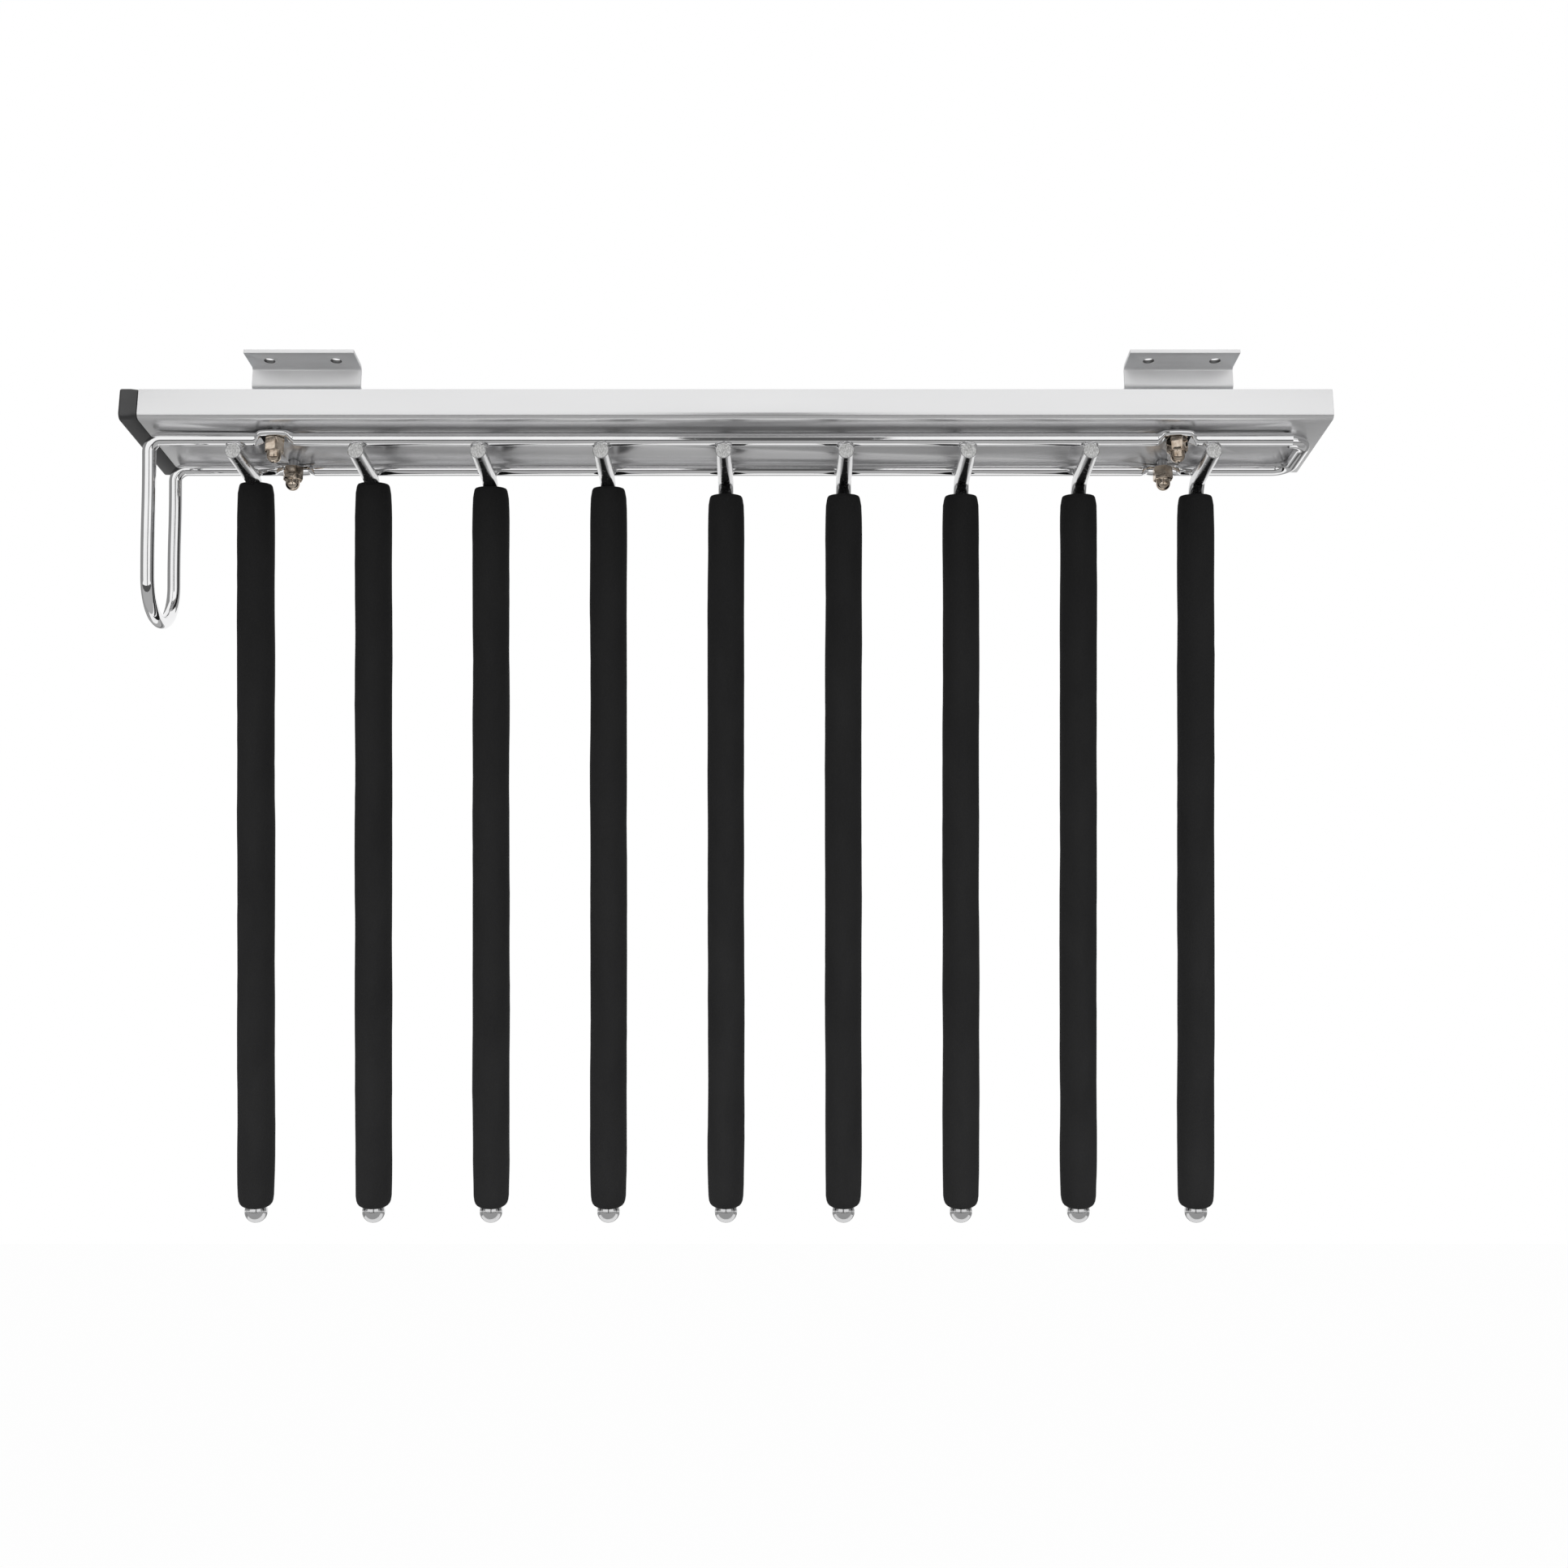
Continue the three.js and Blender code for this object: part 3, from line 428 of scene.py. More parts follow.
def turned(name, outline, sides=48, hollow=False):
    """A solid turned about Z: a disc, extruded and resized ring by ring through (radius, height).

    A hollow one starts from an open circle, and its last ring is joined to its first.
    """
    bpy.ops.object.select_all(action="DESELECT")
    radius, height = outline[0]
    bpy.ops.mesh.primitive_circle_add(vertices=sides, radius=radius, location=(0, 0, 0),
                                      fill_type="NOTHING" if hollow else "NGON")
    piece = bpy.context.object
    piece.name = name
    bpy.ops.object.mode_set(mode="EDIT")
    bpy.ops.transform.translate(value=(0, 0, height))
    for next_radius, next_height in outline[1:] + (outline[:1] if hollow else []):
        bpy.ops.mesh.extrude_region_move(TRANSFORM_OT_translate={"value": (0, 0, next_height - height)})
        grow = next_radius / radius
        bpy.ops.transform.resize(value=(grow, grow, 1), center_override=(0, 0, next_height))
        radius, height = next_radius, next_height
    bpy.ops.mesh.select_all(action="SELECT")
    if hollow:
        bpy.ops.mesh.remove_doubles(threshold=merge_distance)
    bpy.ops.mesh.normals_make_consistent(inside=False)
    bpy.ops.object.mode_set(mode="OBJECT")
    return piece


def dome(radius, rise, foot, steps=8, tip=0.02):
    """Rings of a low dome from its rim to a tip of a small share of its radius."""
    sphere = (radius ** 2 + rise ** 2) / (2 * rise)
    widest = acos(1 - rise / sphere) if rise < sphere else pi / 2
    angles = [widest * (1 - i / steps) for i in range(steps)] + [widest * tip]
    return [(sphere * sin(a), foot + rise - sphere * (1 - cos(a))) for a in angles]


def headed_pin(name, box, diameter, head_height, rim, point_share, chamfer, head_edge):
    """A pin that fills a CAD node's box along Z: a chamfered point, a shank and a low domed head."""
    foot, top = box
    shank = diameter / 2
    head = (top.y - foot.y) / 2
    seat_z = top.z - head_height
    return smooth(turned(name, [
        (shank * point_share, foot.z), (shank, foot.z + chamfer), (shank, seat_z),
        (head * 0.97, seat_z), (head, seat_z + head_edge), (head, seat_z + rim),
        *dome(head * 0.98, head_height - rim, seat_z + rim)[1:]]))


def bright_steel(name, dark, light, rough):
    """Plain bright steel with fine turning lines and small stains."""
    finish, tree, shader, place = new_finish(name, 1)
    grain = speckle(tree, place, 0.25 * mm, (1, 1, 0.4))
    stains = speckle(tree, place, 3 * mm)
    surfaced(tree, shader, tinted(tree, stains, dark, light),
             between(tree, grain, rough * 0.7, rough * 1.4), grain, 0.006 * mm)
    return finish


fastener_steel = bright_steel("fastener_steel", (0.50, 0.50, 0.51), (0.64, 0.64, 0.65), 0.26)
pattern = headed_pin("rivet_pattern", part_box("rivet_front_1"), rivet_diameter, rivet_head_height,
                     rivet_rim, rivet_point_share, rivet_point_chamfer, rivet_head_edge)
for end in ("front", "rear"):
    for number in (1, 2):
        place = middle(f"rivet_{end}_{number}")
        rivet = copied(pattern, f"{end}_rivet_{number}", (place.x, place.y, 0))
        stands_for(rivet, f"rivet_{end}_{number}", "panel_side", fastener_steel)
bpy.data.objects.remove(pattern)

# Slide: three members of zinc-plated steel strip, rolled to shape and run one inside the other.
# Between them lie two folded cages, each with a row of bearing balls on both sides. Low stops on
# the webs meet the cages at full travel.
member_gauge = 1 * mm
member_bend = 1.2 * mm
cage_gauge = 0.5 * mm
cage_lip_below_ball = 1.2 * mm
cage_chamfer = 1.275 * mm
cage_bend = 0.5 * mm
cage_edge_round = 0.08 * mm
cage_hole_play = 0.12 * mm
bearing_radius = 1.5 * mm
bearing_pitch = 40 * mm
bearing_row_depth = 8.2 * mm
race_play = 0.1 * mm
race_radius = bearing_radius + race_play + member_gauge / 2
race_tilt = 41.8
hook_rise = 1.45
metal_edge_round = 0.12 * mm
cutter_overshoot = 2 * mm
outer_web, outer_cage_web, middle_web, inner_cage_web, inner_web = (
    depth * mm for depth in (0.5, 1.45, 2.4, 3.35, 12.2))
stop_width = 8 * mm
stop_length = 2 * mm
stop_inset = 2 * mm
access_hole = 8 * mm
screw_hole = 4.5 * mm
slide_low, slide_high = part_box("outer_member")
slide_back_z = slide_high.z
outer_row = (slide_high.y - member_gauge / 2 - race_radius, bearing_row_depth)
inner_row = (outer_row[0] - 2 * race_radius * cos(radians(race_tilt)),
             outer_row[1] - 2 * race_radius * sin(radians(race_tilt)))


def both_sides(half):
    """A section line in Y and Z from its right half, given as (across, depth behind the slide's back)."""
    line = [(-y, depth) for y, depth in reversed(half)] + list(half)
    return [(y, slide_back_z - depth) for y, depth in line]


def zinc_plate(name, dark, light, rough):
    """Zinc plate: a cool grey with soft crystalline patches and faint rolling lines."""
    finish, tree, shader, place = new_finish(name, 1)
    cells = tree.nodes.new("ShaderNodeTexVoronoi")
    cells.inputs["Scale"].default_value = 1 / (2.2 * mm)
    tree.links.new(place, cells.inputs["Vector"])
    clouds = speckle(tree, place, 7 * mm)
    rolled = speckle(tree, place, 0.4 * mm, (40, 1, 1))
    blend = tree.nodes.new("ShaderNodeMath")
    blend.operation = "MULTIPLY_ADD"
    blend.inputs[1].default_value = 0.25
    tree.links.new(cells.outputs["Color"], blend.inputs[0])
    tree.links.new(clouds, blend.inputs[2])
    surfaced(tree, shader, tinted(tree, blend.outputs[0], dark, light, 0.35, 0.85),
             between(tree, clouds, rough - 0.06, rough + 0.08), rolled, 0.006 * mm)
    return finish


outer_race = arc(outer_row, race_radius, -50, 65, 14)
outer_flange_y = outer_race[0][0]
outer_line = rounded([(0, outer_web), (outer_flange_y, outer_web, member_bend / 2),
                      (outer_flange_y, outer_row[1])], 5)[1:-1] + outer_race
inner_race = arc(inner_row, race_radius, -75, race_tilt, 14)
middle_hook = arc(outer_row, race_radius, 180 + race_tilt, 140, 10)[1:]
middle_foot_y = inner_race[0][0] - (inner_race[0][1] - middle_web)
middle_line = [(middle_foot_y, middle_web)] + inner_race + middle_hook
inner_flange_y = inner_row[0] - race_radius
inner_line = rounded([(0, inner_web), (inner_flange_y, inner_web, member_bend),
                      (inner_flange_y, inner_row[1])], 6)[1:-1]
inner_line += [(inner_flange_y, inner_row[1] + hook_rise * race_radius)]
inner_line += arc(inner_row, race_radius, 120, 218, 12)


def block(place, size, turn=0):
    """A plain block about a place, turned about Z."""
    bpy.ops.object.select_all(action="DESELECT")
    bpy.ops.mesh.primitive_cube_add(size=1, location=place, rotation=(0, 0, turn))
    piece = bpy.context.object
    piece.scale = size
    return piece


def web_stop(member, low_x, shallow, deep):
    """A low stop across a member's web, between two depths behind the slide's back."""
    place = (low_x + stop_length / 2, 0, slide_back_z - (shallow + deep) / 2)
    cut(member, block(place, (stop_length, stop_width, deep - shallow)), "UNION")


front_stop_x = slide_low.x + stop_inset
rear_stop_x = slide_high.x - stop_inset - stop_length
half_cage = cage_gauge / 2
slide_zinc = zinc_plate("slide_zinc", (0.42, 0.44, 0.46), (0.56, 0.58, 0.60), 0.34)
for node, name, half, web, stops, hole, body in (
        ("outer_member", "outer_slide_member", outer_line, outer_web,
         [(front_stop_x, outer_web, outer_cage_web + half_cage)], access_hole, "panel_side"),
        ("middle_member", "middle_slide_member", middle_line, middle_web,
         [(rear_stop_x, outer_cage_web - half_cage, middle_web),
          (front_stop_x, middle_web, inner_cage_web + half_cage)], access_hole, "middle_slide"),
        ("inner_member", "inner_slide_member", inner_line, inner_web,
         [(rear_stop_x, inner_cage_web - half_cage, inner_web)], screw_hole, "carriage")):
    member = folded(name, both_sides(half), member_gauge, slide_low.x, slide_high.x)
    for place in stops:
        web_stop(member, *place)
    holes = [(middle(f"cover_screw_{number}"), hole) for number in (1, 2, 3)]
    if node == "outer_member":
        holes += [(middle(f"rivet_{end}"), rivet_hole_diameter)
                  for end in ("front_1", "front_2", "rear_1", "rear_2")]
    for place, diameter in holes:
        cut(member, cutter_bar((place.x, place.y, slide_back_z - web), diameter / 2, 3 * member_gauge))
    break_edges(member, metal_edge_round)
    stands_for(member, node, body, slide_zinc)

cage_low, cage_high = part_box("outer_ball_cage")
ball_count = int((cage_high.x - cage_low.x - 2 * bearing_radius) // bearing_pitch) + 1
cage_middle_x = (cage_low.x + cage_high.x) / 2
bearing_xs = [cage_middle_x + (i - (ball_count - 1) / 2) * bearing_pitch
              for i in range(ball_count)]
cage_steel = bright_steel("cage_steel", (0.46, 0.46, 0.47), (0.58, 0.58, 0.59), 0.32)
bearing_steel = bright_steel("bearing_steel", (0.62, 0.62, 0.63), (0.70, 0.70, 0.71), 0.07)
ball_pattern = turned("bearing_ball", arc((0, 0), bearing_radius, -89, 89, 20), 32)
smooth(ball_pattern)
for row, web, kind in ((outer_row, outer_cage_web, "outer"), (inner_row, inner_cage_web, "inner")):
    lip = rounded([(row[0] - cage_chamfer, web), (row[0], web + cage_chamfer, cage_bend),
                   (row[0], row[1] + cage_lip_below_ball)], 4)
    cage = folded(f"{kind}_cage_strip", both_sides(lip), cage_gauge, cage_low.x, cage_high.x)
    balls = []
    for x in bearing_xs:
        ball_z = slide_back_z - row[1]
        cut(cage, cutter_bar((x, 0, ball_z), bearing_radius + cage_hole_play,
                             2 * (row[0] + cutter_overshoot), aim=(pi / 2, 0, 0), sides=32))
        balls += [copied(ball_pattern, f"{kind}_bearing_balls", (x, side * row[0], ball_z))
                  for side in (-1, 1)]
    break_edges(cage, cage_edge_round)
    stands_for(cage, f"{kind}_ball_cage", f"{kind}_cage", cage_steel)
    bpy.ops.object.select_all(action="DESELECT")
    for ball in balls:
        ball.select_set(True)
    bpy.context.view_layer.objects.active = balls[0]
    bpy.ops.object.join()
    balls[0].data.materials.append(bearing_steel)
    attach(balls[0], f"{kind}_cage")
bpy.data.objects.remove(ball_pattern)

# Cover: an extruded channel of anodised aluminium with rounded outer edges, sawn to length. A pad
# along its inner face takes the screws of the slide, and four bolts hold the wire frame under it.
cover_wall = 1.3 * mm
cover_edge_radius = 2.4 * mm
cover_pad_width = 13 * mm
cover_pad_height = 2.6 * mm
cover_hole_diameter = 4.5 * mm
pad_bore_depth = 10 * mm
bore_play = 0.2 * mm
cover_low, cover_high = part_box("cover")
half = (cover_high.y - cover_low.y) / 2 - cover_wall / 2
face_z = cover_low.z + cover_wall / 2
bend = cover_edge_radius - cover_wall / 2
section = rounded([(-half, cover_high.z), (-half, face_z, bend), (half, face_z, bend),
                   (half, cover_high.z)], 10)
cover = folded("channel_cover", section, cover_wall, cover_low.x, cover_high.x)
pad_height = cover_wall / 2 + cover_pad_height
cut(cover, block(((cover_low.x + cover_high.x) / 2, 0, face_z + pad_height / 2),
                 (cover_high.x - cover_low.x, cover_pad_width, pad_height)), "UNION")
bolts = [middle(f"frame_bolt_{number}") for number in (1, 2, 3, 4)]
bolt_places = [(bolt.x, bolt.y) for bolt in bolts]
for x, y in bolt_places:
    cut(cover, cutter_bar((x, y, face_z), cover_hole_diameter / 2, 3 * cover_wall))
screw_foot_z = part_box("cover_screw_1")[0].z
for number in (1, 2, 3):
    place = (middle(f"cover_screw_{number}").x, 0, screw_foot_z + pad_bore_depth / 2)
    cut(cover, cutter_bar(place, cover_hole_diameter / 2, pad_bore_depth + 2 * bore_play))
break_edges(cover, metal_edge_round)
cover_satin = satin_silver("cover_satin", (0.80, 0.80, 0.805), (0.83, 0.83, 0.835), 0.25, 0.8)
stands_for(cover, "cover", "carriage", cover_satin)

# Cover screws: three pan head screws of bright steel through the slide's inner member into the
# cover's pad. Each head has a cross recess.
fixing_diameter = 4 * mm
fixing_point_share = 0.8
fixing_chamfer = 0.4 * mm
fixing_head_edge = 0.15 * mm
pad_screw_head_height = 2.2 * mm
pad_screw_rim = 0.8 * mm
recess_width = 0.9 * mm
recess_depth = 1.1 * mm
recess_share = 0.55
screw_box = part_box("cover_screw_1")
pattern = headed_pin("pad_screw_pattern", screw_box, fixing_diameter, pad_screw_head_height,
                     pad_screw_rim, fixing_point_share, fixing_chamfer, fixing_head_edge)
recess_length = (screw_box[1].y - screw_box[0].y) * recess_share
for turn in (0, pi / 2):
    cut(pattern, block((0, 0, screw_box[1].z), (recess_length, recess_width, 2 * recess_depth), turn))
smooth(pattern)
for number in (1, 2, 3):
    screw = copied(pattern, f"pad_screw_{number}", (middle(f"cover_screw_{number}").x, 0, 0))
    stands_for(screw, f"cover_screw_{number}", "carriage", fastener_steel)
bpy.data.objects.remove(pattern)

# End cap: a black moulding that closes the cover's front end. Its rim stands a little proud and
# is bevelled towards the cover, and two tongues grip inside the channel.
cap_proud = 0.8 * mm
cap_bevel_length = 2.6 * mm
cap_edge_length = 0.7 * mm
cap_corner_radius = 0.9 * mm
cap_gap = 0.2 * mm
cap_edge_round = 0.25 * mm
tongue_thickness = 1.8 * mm
tongue_height = 7 * mm
low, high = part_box("end_cap")
cap_back = cover_low.x - cap_gap
cover_half = (cover_high.y - cover_low.y) / 2


def cap_outline(proud):
    """The cap's outline (y, z) as it stands proud of the cover."""
    side = cover_half + proud
    under = cover_low.z - proud
    lower_radius = cover_edge_radius + proud
    line = rounded([(0, high.z), (-side, high.z, cap_corner_radius), (-side, under, lower_radius),
                    (side, under, lower_radius), (side, high.z, cap_corner_radius), (0, high.z)], 8)
    return line[:-1]


bpy.ops.object.select_all(action="DESELECT")
bpy.ops.mesh.primitive_plane_add(size=mm)
cap = bpy.context.object
cap.name = "black_end_cap"
shape = bmesh.new()
outline = [shape.verts.new((low.x, y, z)) for y, z in cap_outline(cap_proud - cap_edge_length)]
shape.faces.new(outline)
shape.to_mesh(cap.data)
shape.free()
bpy.ops.object.mode_set(mode="EDIT")
bpy.ops.mesh.select_all(action="SELECT")
bevel_start_x = cap_back - cap_bevel_length
here_x, here_proud = low.x, cap_proud - cap_edge_length
for x, proud in ((low.x + cap_edge_length, cap_proud), (bevel_start_x, cap_proud), (cap_back, 0)):
    bpy.ops.mesh.extrude_region_move(TRANSFORM_OT_translate={"value": (x - here_x, 0, 0)})
    wide = (cover_half + proud) / (cover_half + here_proud)
    tall = (high.z - cover_low.z + proud) / (high.z - cover_low.z + here_proud)
    bpy.ops.transform.resize(value=(1, wide, tall), center_override=(x, 0, high.z))
    here_x, here_proud = x, proud
bpy.ops.mesh.select_all(action="SELECT")
bpy.ops.mesh.normals_make_consistent(inside=False)
bpy.ops.object.mode_set(mode="OBJECT")
tongue_y = cover_half - cover_wall - cap_gap - tongue_thickness / 2
tongue_z = cover_low.z + cover_wall + cover_edge_radius + tongue_height / 2
for side in (-1, 1):
    cut(cap, block(((bevel_start_x + high.x) / 2, side * tongue_y, tongue_z),
                   (high.x - bevel_start_x, tongue_thickness, tongue_height)), "UNION")
break_edges(cap, cap_edge_round, segments=3, sharpest=25)


def moulded_black(name):
    """Black moulded plastic with a fine spark-eroded grain and a dull sheen."""
    finish, tree, shader, place = new_finish(name, 0)
    grain = speckle(tree, place, 0.18 * mm, (1, 1, 1), 4)
    clouds = speckle(tree, place, 6 * mm)
    shader.inputs["Specular IOR Level"].default_value = 0.7
    surfaced(tree, shader, tinted(tree, clouds, (0.024, 0.024, 0.025), (0.032, 0.032, 0.033)),
             between(tree, grain, 0.30, 0.42), grain, 0.012 * mm)
    return finish


stands_for(cap, "end_cap", "carriage", moulded_black("moulded_black"))

# Wire frame: one length of chromed steel wire bent to a closed loop. Each long wire is pressed flat
# into two lugs, and at the front the loop is bent down into the handle.
wire_diameter = 5.2 * mm
wire_sides = 40
wire_spacing = 28.5 * mm
front_bend = 5 * mm
rear_bend = 7 * mm
arm_tilt = radians(12.9)
handle_drop = 66.2 * mm
handle_width = 32 * mm
lug_thickness = 2.6 * mm
lug_width = 9.6 * mm
lug_flat = 9.8 * mm
lug_slope = 2.7 * mm
lug_margin = 1.5 * mm
lug_bulge_half = 0.78 * lug_width
bulge_growth = 1.6
flank_fill = 0.5
low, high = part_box("wire_frame")
wire_top_z = high.z
wire_z = wire_top_z - wire_diameter / 2
wire_front_x = low.x + wire_diameter / 2
wire_rear_x = high.x - wire_diameter / 2
forward = Vector((-1, 0, 0))
down_arm = Vector((0, sin(arm_tilt), -cos(arm_tilt)))
across_arm = Vector((0, cos(arm_tilt), sin(arm_tilt)))


class BentWire:
    """Round wire fed out along its heading: a ring, or a disc, extruded in runs and spun in bends."""

    def __init__(self, name, radius, start, heading, sides, filled=False):
        bpy.ops.object.select_all(action="DESELECT")
        aim = Vector(heading).to_track_quat("Z", "Y").to_euler()
        bpy.ops.mesh.primitive_circle_add(vertices=sides, radius=radius, location=start, rotation=aim,
                                          fill_type="NGON" if filled else "NOTHING")
        self.piece = bpy.context.object
        self.piece.name = name
        bpy.ops.object.transform_apply(location=True, rotation=True, scale=True)
        bpy.ops.object.mode_set(mode="EDIT")
        bpy.ops.mesh.select_all(action="SELECT")
        self.here = Vector(start)
        self.heading = Vector(heading).normalized()

    def run(self, length, steps=1):
        for _ in range(steps):
            step = self.heading * length / steps
            bpy.ops.mesh.extrude_region_move(TRANSFORM_OT_translate={"value": step})
            self.here += step

    def bend(self, radius, angle, axis, steps):
        axis = Vector(axis).normalized()
        middle = self.here + axis.cross(self.heading) * radius
        bpy.ops.mesh.spin(steps=steps, angle=-angle, center=middle, axis=axis)
        turn = Matrix.Rotation(angle, 3, axis)
        self.here = middle + turn @ (self.here - middle)
        self.heading = turn @ self.heading

    def finish(self, join_ends=False):
        bpy.ops.mesh.select_all(action="SELECT")
        if join_ends:
            bpy.ops.mesh.remove_doubles(threshold=merge_distance)
        bpy.ops.mesh.normals_make_consistent(inside=False)
        bpy.ops.object.mode_set(mode="OBJECT")
        return self.piece


def lugs_between(wire, places, end_x):
    """Feeds the wire along X past the lugs, with close rings where the die will press it."""
    reach = lug_flat / 2 + lug_slope + lug_margin
    way = wire.heading.x
    for x in places:
        wire.run(abs(x - way * reach - wire.here.x))
        wire.run(2 * reach, 44)
    wire.run(abs(end_x - wire.here.x), 4)


def strand(wire, side_shift, length, turn_axis):
    """Spreads a strand of the handle sideways over its length, by two equal and opposite bends."""
    angle = 2 * atan(side_shift / length)
    radius = length / 2 / sin(angle)
    wire.bend(radius, angle, turn_axis, 8)
    wire.bend(radius, angle, -turn_axis, 8)


bolt_xs = sorted({round(x, 5) for x, _ in bolt_places})
near_y = -wire_spacing / 2
loop_radius = handle_width / 2
spread = loop_radius - wire_spacing / 2 * cos(arm_tilt)
wire_rise = wire_spacing / 2 * sin(arm_tilt)
near_length = handle_drop - loop_radius - front_bend + wire_rise
far_length = handle_drop - loop_radius - front_bend - wire_rise
wire = BentWire("bent_wire_frame", wire_diameter / 2, (wire_rear_x - rear_bend, near_y, wire_z),
                forward, wire_sides)
lugs_between(wire, bolt_xs[::-1], wire_front_x + front_bend)
wire.bend(front_bend, pi / 2, forward.cross(down_arm), 14)
strand(wire, spread, near_length, down_arm.cross(-across_arm))
wire.bend(loop_radius, pi, down_arm.cross(across_arm), 40)
strand(wire, spread, far_length, down_arm.cross(-across_arm))
wire.bend(front_bend, pi / 2, (-down_arm).cross(-forward), 14)
lugs_between(wire, bolt_xs, wire_rear_x - rear_bend)
wire.bend(rear_bend, pi / 2, (0, 0, -1), 14)
wire.run(wire_spacing - 2 * rear_bend, 2)
wire.bend(rear_bend, pi / 2, (0, 0, -1), 14)
wire_frame = wire.finish(join_ends=True)

# The lugs are pressed: the die pushes the underside up to a flat with a slope at each end, the top
# stays level, and the metal flows out to the sides.
shape = bmesh.new()
shape.from_mesh(wire_frame.data)
for vert in shape.verts:
    near_bolt = min(bolt_xs, key=lambda x: abs(x - vert.co.x))
    away = abs(vert.co.x - near_bolt)
    if away > lug_flat / 2 + lug_slope or vert.co.z < wire_z - wire_diameter:
        continue
    middle_y = near_y if vert.co.y < 0 else -near_y
    pressed = 1 - max(0, away - lug_flat / 2) / lug_slope
    bulge = sqrt(max(0, 1 - (away / lug_bulge_half) ** 2)) * min(1, pressed * bulge_growth)
    width = wire_diameter + (lug_width - wire_diameter) * bulge
    under_z = wire_top_z - wire_diameter + (wire_diameter - lug_thickness) * pressed
    off_z = (vert.co.z - wire_z) / (wire_diameter / 2) * (1 + flank_fill * pressed)
    vert.co.y = middle_y + (vert.co.y - middle_y) * width / wire_diameter
    vert.co.z = (wire_top_z + under_z) / 2 + max(-1, min(1, off_z)) * (wire_top_z - under_z) / 2
shape.to_mesh(wire_frame.data)
shape.free()
for x, y in bolt_places:
    place = (x, y, wire_top_z - lug_thickness / 2)
    cut(wire_frame, cutter_bar(place, cover_hole_diameter / 2, 4 * lug_thickness))
smooth(wire_frame, 28)


def chrome(name, dark, light, rough):
    """Chrome plate with the slight waves of the drawn wire under it and a few dull spots."""
    finish, tree, shader, place = new_finish(name, 1)
    waves = speckle(tree, place, 9 * mm, (1, 1, 1), 1)
    spots = speckle(tree, place, 1.6 * mm, (1, 1, 1), 4)
    haze = speckle(tree, place, 14 * mm)
    surfaced(tree, shader, tinted(tree, haze, dark, light),
             between(tree, spots, rough, rough * 2.6, 0.55, 0.75), waves, 0.010 * mm)
    return finish


bright_chrome = chrome("bright_chrome", (0.84, 0.84, 0.845), (0.90, 0.90, 0.905), 0.05)
stands_for(wire_frame, "wire_frame", "carriage", bright_chrome)

# Lug fixings: at each lug a bolt of bright steel comes down through the cover, and a domed nut of
# warm nickel is run up on it from below.
nut_width = 7 * mm
nut_hex_height = 5.3 * mm
nut_dome_diameter = 5.6 * mm
nut_dome_height = 4.1 * mm
nut_chamfer = 0.45 * mm
nut_neck = 0.25 * mm
nut_edge_round = 0.10 * mm
nut_bore_radius = 2.12 * mm
nut_bore_depth = 6 * mm
nut_bore_over = 1 * mm
nut_turns = (16, 25, 17.5, 3)
lug_bolt_head_height = 2.4 * mm
lug_bolt_rim = 1.0 * mm


def warm_nickel(name):
    """Nickel plate with a warm brown cast, darker in places."""
    finish, tree, shader, place = new_finish(name, 1)
    stains = speckle(tree, place, 2.5 * mm)
    grain = speckle(tree, place, 0.3 * mm, (1, 1, 3))
    surfaced(tree, shader, tinted(tree, stains, (0.36, 0.28, 0.21), (0.74, 0.65, 0.55)),
             between(tree, grain, 0.04, 0.08), grain, 0.002 * mm)
    return finish


def cap_nut(name):
    """A domed nut hung from Z = 0: a hexagon with its corners turned off, and a dome below."""
    corner = nut_width / sqrt(3)
    bpy.ops.object.select_all(action="DESELECT")
    bpy.ops.mesh.primitive_cylinder_add(vertices=6, radius=corner, depth=nut_hex_height,
                                        location=(0, 0, -nut_hex_height / 2))
    nut = bpy.context.object
    nut.name = name
    settle(nut, nut.location)
    wide = corner + nut_chamfer
    hexagon_limits = turned("chamfer", [
        (corner - nut_chamfer * 1.7, -nut_hex_height), (wide, -nut_hex_height + nut_chamfer * 1.6),
        (wide, -nut_chamfer), (corner - nut_chamfer * 0.6, 0)], 64)
    cut(nut, hexagon_limits, "INTERSECT")
    radius = nut_dome_diameter / 2
    tip_z = -nut_hex_height - nut_dome_height
    dome_and_neck = turned("dome", arc((0, tip_z + radius), radius, -89, 0, 14) + [
        (radius, -nut_hex_height - nut_neck), (radius * 1.06, -nut_hex_height + 2 * nut_neck)])
    cut(nut, dome_and_neck, "UNION")
    cut(nut, cutter_bar((0, 0, (nut_bore_over - nut_bore_depth) / 2), nut_bore_radius,
                        nut_bore_depth + nut_bore_over))
    break_edges(nut, nut_edge_round, sharpest=30)
    return nut


nut_metal = warm_nickel("nut_nickel")
bolt_pattern = headed_pin("bolt_pattern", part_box("frame_bolt_1"), fixing_diameter, lug_bolt_head_height,
                          lug_bolt_rim, fixing_point_share, fixing_chamfer, fixing_head_edge)
nut_top_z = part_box("cap_nut_1")[1].z
nut_pattern = cap_nut("nut_pattern")
for number, (x, y), turn in zip((1, 2, 3, 4), bolt_places, nut_turns):
    nut = copied(nut_pattern, f"domed_nut_{number}", (x, y, nut_top_z), (0, 0, radians(turn)))
    stands_for(nut, f"cap_nut_{number}", "carriage", nut_metal)
    bolt = copied(bolt_pattern, f"lug_bolt_{number}", (x, y, 0))
    stands_for(bolt, f"frame_bolt_{number}", "carriage", fastener_steel)
for pattern in (nut_pattern, bolt_pattern):
    bpy.data.objects.remove(pattern)

